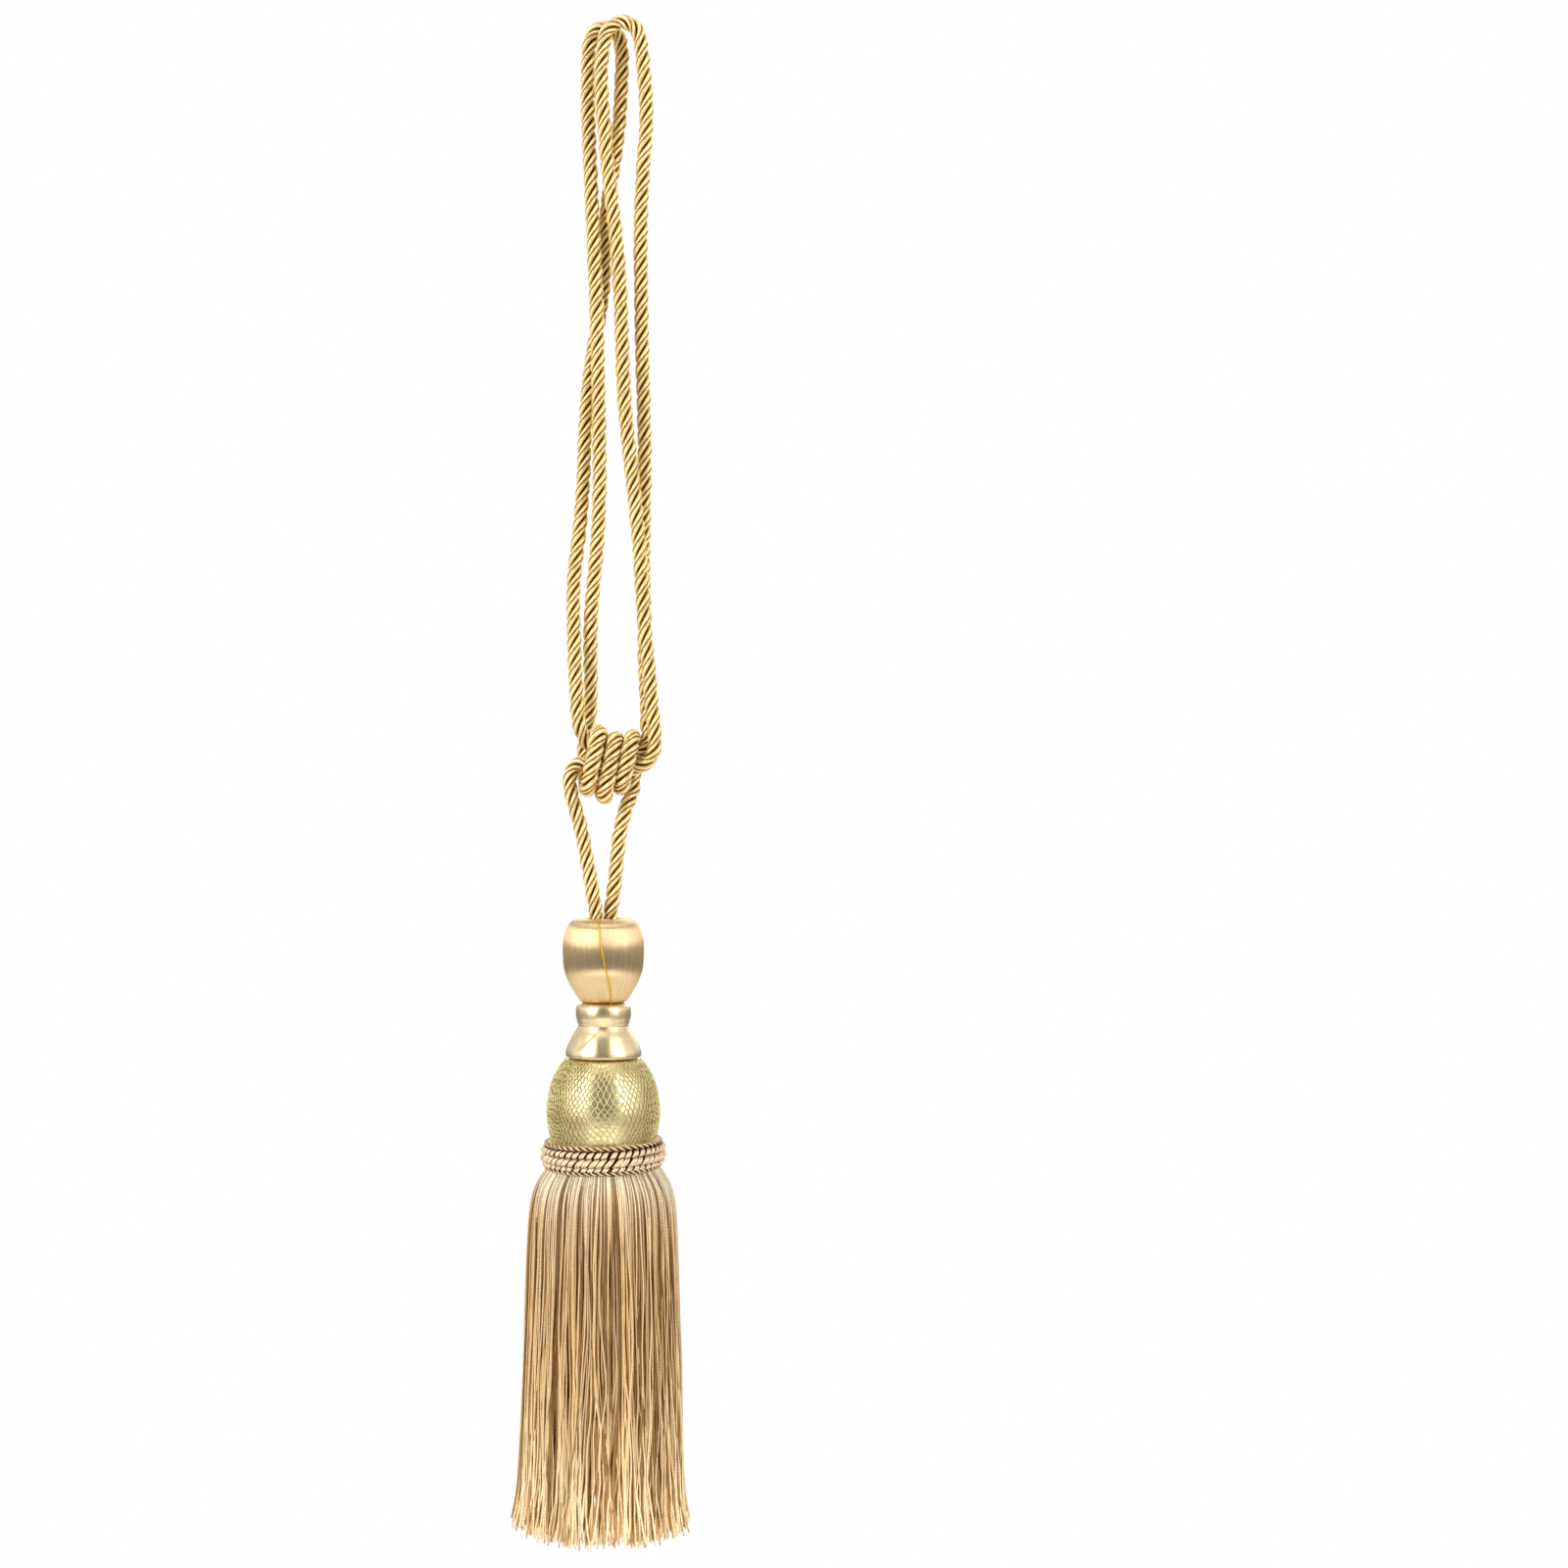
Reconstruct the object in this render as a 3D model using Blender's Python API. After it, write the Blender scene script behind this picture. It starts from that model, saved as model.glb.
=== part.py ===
"""Curtain tieback tassel: a twisted rope tied in a barrel knot over a turned, thread-covered tassel.

The origin is the inside top of the rope's two loops, where they hang on a hook. +Z is up, the
front faces -Y, and every size below is in millimetres until scaled to metres by MM.
"""
import math
import random

import bmesh
import bpy
import numpy as np
from mathutils import Vector

MM = 0.001
GAP = 0.3                 # clearance between neighbouring pieces
AXIS_X = -4.3             # the tassel's own axis, plumb below the knot

# Rope: three strands laid right-handed.
ROPE_CREST = 3.2          # radius over the strands
ROPE_GROOVE = 2.6         # radius in the grooves between them
ROPE_STRANDS = 3
ROPE_PITCH = 21.6         # one full turn of the lay
RINGS_PER_PITCH = 7

# Loops over the hook: x of the middle, depth, half width and rise of each half-oval arch.
ARCH_TOP_Z = 3.3
FRONT_ARCH = {"middle_x": 3.8, "depth": -3.6, "half_width": 8.2, "rise": 10.9}
REAR_ARCH = {"middle_x": -3.4, "depth": 3.6, "half_width": 6.9, "rise": 9.2}
ARCH_STEPS = 6

# Barrel knot: three turns round two passes of the rope. Each turn rises in front, leaning right.
WRAP_RADIUS = 8.0
WRAP_COLUMNS = ("back_x", "bottom_x", "bottom_z", "top_x", "top_z")
WRAPS = (
    (-12.1, -11.1, -324.2, -6.2, -299.9),
    (-5.3, -3.9, -327.4, 0.9, -302.8),
    (1.6, 3.4, -323.4, 8.2, -302.0),
)
LAST_BACK_X = 8.7

# The rope's route as it hangs, stretch by stretch, (x, y, z).
LEG_LEFT = [
    (-7.2, -1.8, -384.6), (-7.2, -1.8, -379.3), (-8.0, -1.5, -373.4), (-9.7, -0.8, -363.7),
    (-12.2, 0.0, -349.9), (-14.7, 0.0, -338.1), (-17.1, 0.0, -329.7), (-18.5, 0.0, -323.8),
    (-18.6, 0.0, -318.8), (-17.0, 0.0, -315.0), (-13.9, -0.2, -313.3),
]
KNOT_PASS_RIGHT = [
    (-9.7, -0.6, -313.5), (-4.2, -1.0, -315.2), (0.8, -1.1, -316.4), (5.0, -1.1, -316.2),
    (10.2, -2.6, -315.2), (14.7, -3.9, -312.5), (17.2, -4.2, -307.4), (17.6, -4.1, -302.0),
    (17.1, -3.8, -295.7),
]
FRONT_RISE = [
    (16.4, -3.7, -289.4), (15.3, -3.6, -275.9), (14.1, -3.6, -263.3), (13.0, -3.6, -250.7),
    (12.2, -3.6, -237.3), (11.1, -3.6, -221.3), (9.0, -3.6, -199.5), (6.5, -3.6, -177.7),
    (4.8, -3.6, -159.2), (3.6, -3.6, -131.0), (2.3, -3.6, -102.1), (0.4, -3.6, -82.7),
    (-2.3, -3.6, -59.6), (-4.5, -3.6, -34.4), (-5.3, -3.6, -19.7),
]
RIGHT_FALL = [
    (13.2, -3.6, -19.7), (14.1, -3.2, -34.4), (13.2, -2.2, -53.3), (12.1, -1.2, -72.2),
    (11.8, 0.6, -99.5), (12.3, 2.2, -128.9), (12.9, 3.3, -154.1), (13.5, 3.6, -179.3),
    (13.2, 3.6, -204.5), (13.0, 3.6, -229.7), (13.5, 3.6, -254.9), (13.9, 3.5, -278.0),
    (14.5, 3.3, -291.1), (14.7, 2.8, -298.2), (14.8, 1.8, -303.8), (12.6, 0.8, -307.8),
    (9.0, 0.6, -309.5),
]
KNOT_PASS_LEFT = [
    (4.6, 0.9, -309.6), (0.8, 1.0, -309.7), (-4.2, 1.0, -308.3), (-9.2, 0.2, -306.2),
    (-12.6, -1.6, -302.4), (-14.4, -3.3, -297.4),
]
LEFT_RISE = [
    (-15.5, -3.9, -289.4), (-16.4, -3.4, -271.7), (-17.0, -1.8, -254.9), (-17.0, 0.0, -238.1),
    (-15.5, 1.6, -221.3), (-13.4, 3.0, -200.3), (-12.4, 3.6, -177.7), (-11.1, 3.6, -155.0),
    (-7.6, 3.6, -129.8), (-4.4, 3.6, -110.0), (-3.6, 3.6, -86.9), (-1.7, 3.6, -68.0),
    (1.3, 3.6, -49.1), (2.9, 3.6, -32.3), (3.6, 3.6, -18.9),
]
REAR_FALL = [
    (-11.0, 3.4, -21.8), (-10.7, 2.6, -36.5), (-9.7, 0.5, -61.7), (-8.4, -2.0, -91.1),
    (-7.3, -3.4, -116.3), (-6.5, -3.6, -147.8), (-6.0, -3.4, -179.3), (-6.3, -2.0, -208.7),
    (-7.8, -0.5, -229.7), (-9.5, 1.2, -248.6), (-9.8, 2.9, -267.5), (-9.7, 4.4, -282.2),
    (-10.5, 6.2, -293.6), (-12.2, 7.6, -302.8),
]
LEG_RIGHT = [
    (8.7, 6.8, -322.4), (8.0, 5.0, -326.5), (6.5, 2.9, -329.8), (4.9, 1.0, -334.1),
    (3.1, 0.5, -341.5), (1.8, 0.6, -351.5), (0.8, 0.9, -362.0), (-0.3, 1.4, -371.7),
    (-1.4, 1.8, -379.3), (-1.5, 1.8, -384.6),
]

# Bead: a thread-wound barrel with a blind bore for the two rope ends.
BEAD_TOP_Z = -379.7
BEAD_BORE_RADIUS = 7.2
BEAD_BORE_DEPTH = 5.2
BEAD = (
    # below the top, radius
    (0.0, 9.4), (0.1, 11.4), (0.8, 13.0), (2.4, 14.8), (5.5, 16.3), (8.8, 17.1), (14.0, 17.4),
    (18.9, 17.2), (22.3, 16.7), (25.6, 15.6), (29.0, 14.0), (32.3, 12.0), (35.2, 9.9), (35.9, 9.2),
)

# Collar: a covered mould with a drum, a groove and a flared skirt.
COLLAR = (
    # below the top, radius
    (0.0, 10.0), (1.1, 11.2), (3.4, 11.8), (6.4, 11.6), (8.4, 11.0), (9.4, 10.6), (10.5, 11.0),
    (13.2, 12.7), (16.6, 14.5), (19.6, 15.8), (21.8, 16.2), (23.0, 15.9),
)

# Head: an egg-shaped mould under net.
HEAD = (
    # below the top, radius
    (0.0, 15.5), (2.6, 17.8), (6.0, 20.0), (9.4, 21.6), (12.8, 22.7), (16.8, 23.5), (21.0, 24.0),
    (26.4, 23.9), (30.4, 23.3), (34.0, 22.7), (38.4, 21.6),
)

# Braid ring: the gimp band sewn round the foot of the head, its right side a little high.
RING_TOP_Z = -473.9
RING_INNER = 23.6
RING_TILT = math.radians(1.6)
RING_RIBS = 46
RING_RIB_RISE = 0.45
PLAIN = None
RING = (
    # below the top, radius, shift of its ribs in half ribs
    (0.0, 24.0, PLAIN), (1.2, 25.2, 1), (2.9, 24.9, PLAIN), (4.8, 26.3, 1), (7.4, 26.3, 0),
    (9.3, 25.2, PLAIN), (11.0, 25.2, 0), (12.2, 24.0, PLAIN),
)

# Skirt: a header disc with cut yarns gathered into locks.
HEADER_RADIUS = 22.9
HEADER_HEIGHT = 9.4
HEADER_RINGS = (22.9, 19.3, 15.4)
LOCKS_PER_RING = 54
SKIRT_OUTER = (
    # below the header, radius, taper from the level above
    (3.4, 26.3, 0.90), (11.0, 29.9, 1.0), (32.0, 31.9, 1.0), (92.0, 34.0, 1.0),
    (150.5, 36.8, 0.70),
)
SKIRT_INNER = ((14.0, 28.6, 0.95), (150.0, 35.6, 0.85))
SKIRT_DRIFT_X = -1.0      # the yarns' feet stand this much left of the axis
CUT_UNEVENNESS = 2.2
LOCK_SWAY = 0.022         # how far a lock's foot wanders round the axis, in radians
DEPTH_SPREAD = 0.9        # the inner locks keep this share of their depth behind the outer ones

TURNED_STEPS = 32


def clear_scene():
    for obj in list(bpy.data.objects):
        bpy.data.objects.remove(obj, do_unlink=True)


def fabric(name, colour, roughness, metallic=0.0):
    """A Principled material of one of the object's own yarns or cloths."""
    material = bpy.data.materials.new(name)
    material.use_nodes = True
    shader = material.node_tree.nodes["Principled BSDF"]
    shader.inputs["Base Color"].default_value = (*colour, 1.0)
    shader.inputs["Roughness"].default_value = roughness
    shader.inputs["Metallic"].default_value = metallic
    return material


def add_object(name, bm, material, smooth_angle=None):
    """Scale the finished bmesh to metres and put it in the scene as a named object."""
    bmesh.ops.scale(bm, vec=(MM, MM, MM), verts=bm.verts)
    bmesh.ops.recalc_face_normals(bm, faces=bm.faces)
    mesh = bpy.data.meshes.new(name)
    bm.to_mesh(mesh)
    bm.free()
    if smooth_angle is not None:
        mesh.shade_smooth()
        mesh.set_sharp_from_angle(angle=smooth_angle)
    mesh.materials.append(material)
    obj = bpy.data.objects.new(name, mesh)
    bpy.context.scene.collection.objects.link(obj)
    return obj


def arch(middle_x, depth, half_width, rise):
    """Half an oval over the hook, from its left foot to its right foot."""
    points = []
    for step in range(ARCH_STEPS + 1):
        turn = math.pi * step / ARCH_STEPS
        x = middle_x - half_width * math.cos(turn)
        z = ARCH_TOP_Z - rise * (1.0 - math.sin(turn))
        points.append((x, depth, z))
    return points


def wrap_points():
    """The knot's turns: under, up the front, over and down the back, a little further right."""
    points = []
    for index, row in enumerate(WRAPS):
        wrap = dict(zip(WRAP_COLUMNS, row))
        last = index == len(WRAPS) - 1
        next_back_x = LAST_BACK_X if last else WRAPS[index + 1][0]
        rise = wrap["top_z"] - wrap["bottom_z"]
        lean = (wrap["top_x"] - wrap["bottom_x"]) / rise
        low_z = wrap["bottom_z"] + WRAP_RADIUS
        high_z = wrap["top_z"] - WRAP_RADIUS
        for eighth in range(5):
            turn = math.pi * eighth / 4
            y = WRAP_RADIUS * math.cos(turn)
            z = low_z - WRAP_RADIUS * math.sin(turn)
            front_x = wrap["bottom_x"] + lean * (z - wrap["bottom_z"])
            back_share = max(0.0, math.cos(turn))
            points.append((front_x + back_share * (wrap["back_x"] - front_x), y, z))
        for eighth in range(5):
            turn = math.pi * eighth / 4
            y = -WRAP_RADIUS * math.cos(turn)
            z = high_z + WRAP_RADIUS * math.sin(turn)
            front_x = wrap["top_x"] + lean * (z - wrap["top_z"])
            back_share = max(0.0, -math.cos(turn))
            points.append((front_x + back_share * (next_back_x - front_x), y, z))
    return points


def rope_route():
    """All the route's points in order, from one end in the bead to the other."""
    return (
        LEG_LEFT + KNOT_PASS_RIGHT + FRONT_RISE + arch(**FRONT_ARCH) + RIGHT_FALL
        + KNOT_PASS_LEFT + LEFT_RISE + arch(**REAR_ARCH)[::-1] + REAR_FALL + wrap_points()
        + LEG_RIGHT
    )


def smooth_curve(points, spacing):
    """Evenly spaced points on the natural cubic spline through the route's points."""
    knots = np.array(points)
    chords = np.linalg.norm(np.diff(knots, axis=0), axis=1)
    place = np.concatenate(([0.0], np.cumsum(chords)))
    count = len(knots)
    matrix = np.eye(count)
    right = np.zeros((count, 3))
    for i in range(1, count - 1):
        before, after = chords[i - 1], chords[i]
        matrix[i, i - 1:i + 2] = (before / 6, (before + after) / 3, after / 6)
        right[i] = (knots[i + 1] - knots[i]) / after - (knots[i] - knots[i - 1]) / before
    bend = np.linalg.solve(matrix, right)
    fine = np.linspace(0.0, place[-1], int(place[-1] / 0.2))
    span = np.clip(np.searchsorted(place, fine, side="right") - 1, 0, count - 2)
    width = chords[span][:, None]
    far = (fine - place[span])[:, None] / width
    near = 1.0 - far
    curve = near * knots[span] + far * knots[span + 1]
    curve += ((near**3 - near) * bend[span] + (far**3 - far) * bend[span + 1]) * width**2 / 6
    run = np.concatenate(([0.0], np.cumsum(np.linalg.norm(np.diff(curve, axis=0), axis=1))))
    steps = int(round(run[-1] / spacing))
    even = np.linspace(0.0, run[-1], steps + 1)
    return np.stack([np.interp(even, run, curve[:, axis]) for axis in range(3)], axis=1)


def carried_frames(centres):
    """Tangent, normal and binormal at each point, carried along without turning."""
    tangents = np.gradient(centres, axis=0)
    tangents /= np.linalg.norm(tangents, axis=1)[:, None]
    normal = np.cross(tangents[0], (0.0, 1.0, 0.0))
    normals = []
    for tangent in tangents:
        normal = normal - tangent * np.dot(normal, tangent)
        normal = normal / np.linalg.norm(normal)
        normals.append(normal)
    normals = np.array(normals)
    return normals, np.cross(tangents, normals)


def build_rope():
    spacing = ROPE_PITCH / RINGS_PER_PITCH
    centres = smooth_curve(rope_route(), spacing)
    normals, binormals = carried_frames(centres)
    corners = 2 * ROPE_STRANDS
    bm = bmesh.new()
    rings = []
    for index, centre in enumerate(centres):
        lay = 2 * math.pi * index / RINGS_PER_PITCH
        ring = []
        for corner in range(corners):
            angle = lay + 2 * math.pi * corner / corners
            radius = ROPE_CREST if corner % 2 == 0 else ROPE_GROOVE
            across = math.cos(angle) * normals[index] + math.sin(angle) * binormals[index]
            ring.append(bm.verts.new(centre + radius * across))
        rings.append(ring)
    for low, high in zip(rings, rings[1:]):
        for corner in range(corners):
            after = (corner + 1) % corners
            bm.faces.new((low[corner], low[after], high[after], high[corner]))
    bm.faces.new(rings[0][::-1])
    bm.faces.new(rings[-1])
    bmesh.ops.triangulate(bm, faces=[f for f in bm.faces if len(f.verts) > 4])
    yarn = fabric("rope_yarn", (0.80, 0.52, 0.20), 0.45)
    return add_object("rope", bm, yarn, math.radians(50))


def turned(name, profile, material):
    """Spin a profile of (radius, z) points, on the axis at both ends, round the tassel's axis."""
    bm = bmesh.new()
    verts = [bm.verts.new((AXIS_X + radius, 0.0, z)) for radius, z in profile]
    edges = [bm.edges.new(pair) for pair in zip(verts, verts[1:])]
    bmesh.ops.spin(
        bm, geom=verts + edges, cent=(AXIS_X, 0.0, 0.0), axis=(0.0, 0.0, 1.0),
        angle=2 * math.pi, steps=TURNED_STEPS, use_merge=True,
    )
    bmesh.ops.remove_doubles(bm, verts=bm.verts, dist=0.001)
    return add_object(name, bm, material, math.radians(35))


def build_bead():
    floor_z = BEAD_TOP_Z - BEAD_BORE_DEPTH
    profile = [(0.0, floor_z), (BEAD_BORE_RADIUS, floor_z)]
    profile.append((BEAD_BORE_RADIUS, BEAD_TOP_Z - 0.4))
    profile += [(radius, BEAD_TOP_Z - below) for below, radius in BEAD]
    profile.append((0.0, BEAD_TOP_Z - BEAD[-1][0]))
    return turned("bead", profile, fabric("bead_thread", (0.87, 0.70, 0.42), 0.30))


def stacked_profile(rows, top_z):
    """A closed profile from the axis, down through the rows and back to the axis."""
    outer = [(radius, top_z - below) for below, radius in rows]
    return [(0.0, outer[0][1])] + outer + [(0.0, outer[-1][1])]


def build_collar(top_z):
    cloth = fabric("foil_cloth", (0.80, 0.66, 0.38), 0.35, 0.5)
    return turned("collar", stacked_profile(COLLAR, top_z), cloth)


def build_head(top_z):
    net = fabric("head_net", (0.72, 0.62, 0.30), 0.40, 0.3)
    return turned("head", stacked_profile(HEAD, top_z), net)


def build_braid_ring():
    """The band's rows carried round the axis; ribs lean between the two widest rows."""
    bm = bmesh.new()
    steps = 2 * RING_RIBS
    height = RING[-1][0]
    columns = []
    for step in range(steps):
        angle = 2 * math.pi * step / steps
        outline = []
        for below, radius, rib_shift in RING:
            if rib_shift is not PLAIN:
                radius += RING_RIB_RISE * (-1) ** (step + rib_shift)
            outline.append((radius, RING_TOP_Z - below))
        outline.append((RING_INNER, RING_TOP_Z - height))
        outline.append((RING_INNER, RING_TOP_Z))
        slope = math.sin(RING_TILT) * math.cos(angle)
        column = []
        for radius, z in outline:
            x = AXIS_X + radius * math.cos(angle)
            column.append(bm.verts.new((x, radius * math.sin(angle), z + radius * slope)))
        columns.append(column)
    rows = len(columns[0])
    for here, beside in zip(columns, columns[1:] + columns[:1]):
        for row in range(rows):
            under = (row + 1) % rows
            bm.faces.new((here[under], beside[under], beside[row]))
            bm.faces.new((here[under], beside[row], here[row]))
    gimp = fabric("gimp_cord", (0.85, 0.66, 0.42), 0.50)
    return add_object("braid_ring", bm, gimp)


def header_cells(bm, top_z):
    """The header disc without its underside; returns the underside's three-cornered cells by band."""
    bottom_z = top_z - HEADER_HEIGHT
    circles = []
    for radius, z in [(HEADER_RADIUS, top_z)] + [(r, bottom_z) for r in HEADER_RINGS]:
        circle = []
        for step in range(LOCKS_PER_RING):
            angle = 2 * math.pi * step / LOCKS_PER_RING
            x = AXIS_X + radius * math.cos(angle)
            circle.append(bm.verts.new((x, radius * math.sin(angle), z)))
        circles.append(circle)
    top, rim = circles[0], circles[1]
    bm.faces.new(top)
    bm.faces.new(circles[-1])
    for step in range(LOCKS_PER_RING):
        after = (step + 1) % LOCKS_PER_RING
        bm.faces.new((top[step], rim[step], rim[after], top[after]))
    bands = []
    for outer, inner in zip(circles[1:], circles[2:]):
        cells = []
        for step in range(LOCKS_PER_RING):
            after = (step + 1) % LOCKS_PER_RING
            cells.append((outer[step], outer[after], inner[step]))
            cells.append((inner[step], outer[after], inner[after]))
        bands.append(cells)
    return bands


def hang_lock(bm, root, rows, bottom_z, rng):
    """Carry one cell's three corners down the skirt's bell shape and close them at the cut end."""
    centre = sum((vert.co for vert in root), Vector()) / len(root)
    offsets = [vert.co - centre for vert in root]
    angle = math.atan2(centre.y, centre.x - AXIS_X)
    reach = math.hypot(centre.x - AXIS_X, centre.y) / HEADER_RADIUS
    spread = 1.0 - (1.0 - reach) * DEPTH_SPREAD
    sway = LOCK_SWAY * rng.uniform(-1, 1)
    cut = CUT_UNEVENNESS * rng.uniform(-1, 1)
    above = list(root)
    width = 1.0
    for below, radius, taper in rows:
        share = below / rows[-1][0]
        width *= taper
        turn = angle + sway * share
        x = AXIS_X + SKIRT_DRIFT_X * share**2 + radius * spread * math.cos(turn)
        y = radius * spread * math.sin(turn)
        z = bottom_z - below + cut * share**4
        level = [bm.verts.new((x + off.x * width, y + off.y * width, z)) for off in offsets]
        for corner in range(3):
            after = (corner + 1) % 3
            bm.faces.new((above[corner], above[after], level[after], level[corner]))
        above = level
    bm.faces.new(above)


def build_skirt(top_z):
    rng = random.Random(7)
    bm = bmesh.new()
    bands = header_cells(bm, top_z)
    for cells, rows in zip(bands, (SKIRT_OUTER, SKIRT_INNER)):
        for root in cells:
            hang_lock(bm, root, rows, top_z - HEADER_HEIGHT, rng)
    bmesh.ops.triangulate(bm, faces=[f for f in bm.faces if len(f.verts) > 4])
    return add_object("skirt", bm, fabric("skirt_yarn", (0.82, 0.60, 0.33), 0.42))


def build():
    clear_scene()
    build_rope()
    build_bead()
    collar_top = BEAD_TOP_Z - BEAD[-1][0] - GAP
    build_collar(collar_top)
    head_top = collar_top - COLLAR[-1][0] - GAP
    build_head(head_top)
    build_braid_ring()
    build_skirt(head_top - HEAD[-1][0] - GAP)


build()
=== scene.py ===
import math

import bpy
import numpy as np
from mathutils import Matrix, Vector


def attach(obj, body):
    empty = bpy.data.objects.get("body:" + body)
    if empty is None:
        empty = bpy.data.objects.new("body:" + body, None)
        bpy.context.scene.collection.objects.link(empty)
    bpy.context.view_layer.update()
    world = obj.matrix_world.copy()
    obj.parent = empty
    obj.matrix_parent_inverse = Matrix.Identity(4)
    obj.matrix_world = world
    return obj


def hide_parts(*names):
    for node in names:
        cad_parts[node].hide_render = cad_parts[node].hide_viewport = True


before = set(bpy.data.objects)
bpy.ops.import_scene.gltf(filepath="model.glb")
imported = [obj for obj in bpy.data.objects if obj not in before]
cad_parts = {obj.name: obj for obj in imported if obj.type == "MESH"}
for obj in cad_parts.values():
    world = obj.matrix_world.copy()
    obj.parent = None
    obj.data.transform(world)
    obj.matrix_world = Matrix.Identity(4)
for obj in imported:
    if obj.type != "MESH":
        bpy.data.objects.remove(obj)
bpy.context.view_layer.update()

MM = 0.001

# --- Studio -----------------------------------------------------------------------------------
# The tieback hangs in a white light tent that is open, and so darker, towards the camera. Soft
# lights stand left and right of the camera, above, below and behind, and a pale floor throws
# light back.

CAMERA_PLACE = (-0.0043, -1.008, -0.32214)
CAMERA_LENS = 54.0
CAMERA_SENSOR = 36.0
CAMERA_SHIFT_X = 0.1152            # the tassel hangs left of the picture's middle
FLOOR_Z = -0.85
FLOOR_RADIUS = 0.50
FLOOR_SIDES = 96
FLOOR_COLOUR = (0.86, 0.85, 0.83, 1.0)
FLOOR_ROUGHNESS = 0.9
LIGHT_AIM = Vector((-0.004, 0.0, -0.40))
LIGHT_COLUMNS = ("name", "place", "width", "height", "watts")
LIGHTS = (
    ("left_softbox", (-1.17, -0.95, 0.20), 0.50, 1.20, 14.0),
    ("right_softbox", (1.17, -0.95, 0.20), 0.50, 1.20, 10.5),
    ("top_softbox", (-0.10, -0.45, 1.00), 0.80, 0.60, 2.8),
    ("low_softbox", (0.00, -0.72, -0.83), 1.00, 0.25, 1.6),
    ("back_softbox", (0.20, 1.20, 0.10), 1.20, 0.90, 8.0),
)
TENT_STRENGTH = 1.25
TENT_STEPS = (
    # share of the way from straight down to straight up, colour
    (0.22, (1.00, 0.98, 0.95)), (0.30, (0.50, 0.49, 0.48)), (0.35, (0.20, 0.20, 0.20)),
    (0.49, (0.20, 0.20, 0.20)), (0.58, (1.00, 1.00, 1.00)), (0.68, (0.85, 0.85, 0.85)),
    (0.86, (0.60, 0.60, 0.60)),
)
# Two changes of the light with the cosine off straight behind: from, to, share at each.
TENT_OPENING = {1: -0.98, 2: -0.72, 3: 0.12, 4: 1.0}
TENT_BACK = {1: 0.10, 2: 0.70, 3: 1.0, 4: 0.62}


def feed(tree, node, inputs):
    """Links the node's inputs, by name or number, to sockets, or sets them to values."""
    for key, value in inputs.items():
        if isinstance(value, bpy.types.NodeSocket):
            tree.links.new(value, node.inputs[key])
        else:
            node.inputs[key].default_value = value


def add_node(tree, kind, inputs=None, **settings):
    """A shader node with these settings and with its inputs fed."""
    node = tree.nodes.new("ShaderNode" + kind)
    for key, value in settings.items():
        setattr(node, key, value)
    feed(tree, node, inputs or {})
    return node


def arithmetic(tree, operation, first, second=0.0, third=0.0):
    """The output of one Math node."""
    inputs = {0: first, 1: second, 2: third}
    return add_node(tree, "Math", inputs, operation=operation).outputs[0]


def colour_steps(tree, factor, steps):
    """The colour of a ramp through (place, colour) steps at this factor."""
    ramp = add_node(tree, "ValToRGB", {"Fac": factor})
    elements = ramp.color_ramp.elements
    while len(elements) < len(steps):
        elements.new(0.5)
    for element, (place, colour) in zip(elements, steps):
        element.position = place
        element.color = (*colour, 1.0)
    return ramp.outputs["Color"]


def soft_change(tree, value, limits):
    """The value mapped from one range to another along a smooth step."""
    return add_node(
        tree, "MapRange", {0: value, **limits}, interpolation_type="SMOOTHSTEP").outputs[0]


studio = bpy.context.scene
studio.view_settings.view_transform = "Standard"

for row in LIGHTS:
    light = dict(zip(LIGHT_COLUMNS, row))
    lamp = bpy.data.lights.new(light["name"], "AREA")
    lamp.shape = "RECTANGLE"
    lamp.size = light["width"]
    lamp.size_y = light["height"]
    lamp.energy = light["watts"]
    holder = bpy.data.objects.new(light["name"], lamp)
    holder.location = light["place"]
    holder.rotation_euler = (LIGHT_AIM - holder.location).to_track_quat("-Z", "Y").to_euler()
    studio.collection.objects.link(holder)

surround = bpy.data.worlds.new("white_studio")
surround.use_nodes = True
studio.world = surround
sky = surround.node_tree
sky.nodes.clear()
toward = add_node(sky, "SeparateXYZ", {0: add_node(sky, "TexCoord").outputs["Generated"]})
height_share = arithmetic(sky, "MULTIPLY_ADD", toward.outputs["Z"], 0.5, 0.5)
glow = colour_steps(sky, height_share, TENT_STEPS)
level = arithmetic(sky, "SQRT", arithmetic(
    sky, "MULTIPLY_ADD", toward.outputs["X"], toward.outputs["X"],
    arithmetic(sky, "MULTIPLY", toward.outputs["Y"], toward.outputs["Y"])))
to_back = arithmetic(sky, "DIVIDE", toward.outputs["Y"], level)
tent_light = arithmetic(
    sky, "MULTIPLY", soft_change(sky, to_back, TENT_OPENING), soft_change(sky, to_back, TENT_BACK))
tent = add_node(sky, "VectorMath", {0: glow, "Scale": tent_light}, operation="SCALE").outputs[0]
lit = add_node(sky, "Background", {"Color": tent, "Strength": TENT_STRENGTH})
seen = add_node(sky, "Background", {"Color": (1.0, 1.0, 1.0, 1.0), "Strength": 1.0})
is_camera = add_node(sky, "LightPath").outputs["Is Camera Ray"]
mixed = add_node(sky, "MixShader", {0: is_camera, 1: lit.outputs[0], 2: seen.outputs[0]})
add_node(sky, "OutputWorld", {"Surface": mixed.outputs[0]})

camera_data = bpy.data.cameras.new("camera")
camera_data.sensor_width = CAMERA_SENSOR
camera_data.lens = CAMERA_LENS
camera_data.shift_x = CAMERA_SHIFT_X
camera = bpy.data.objects.new("camera", camera_data)
camera.location = CAMERA_PLACE
camera.rotation_euler = (math.pi / 2, 0.0, 0.0)
studio.collection.objects.link(camera)
studio.camera = camera


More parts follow.
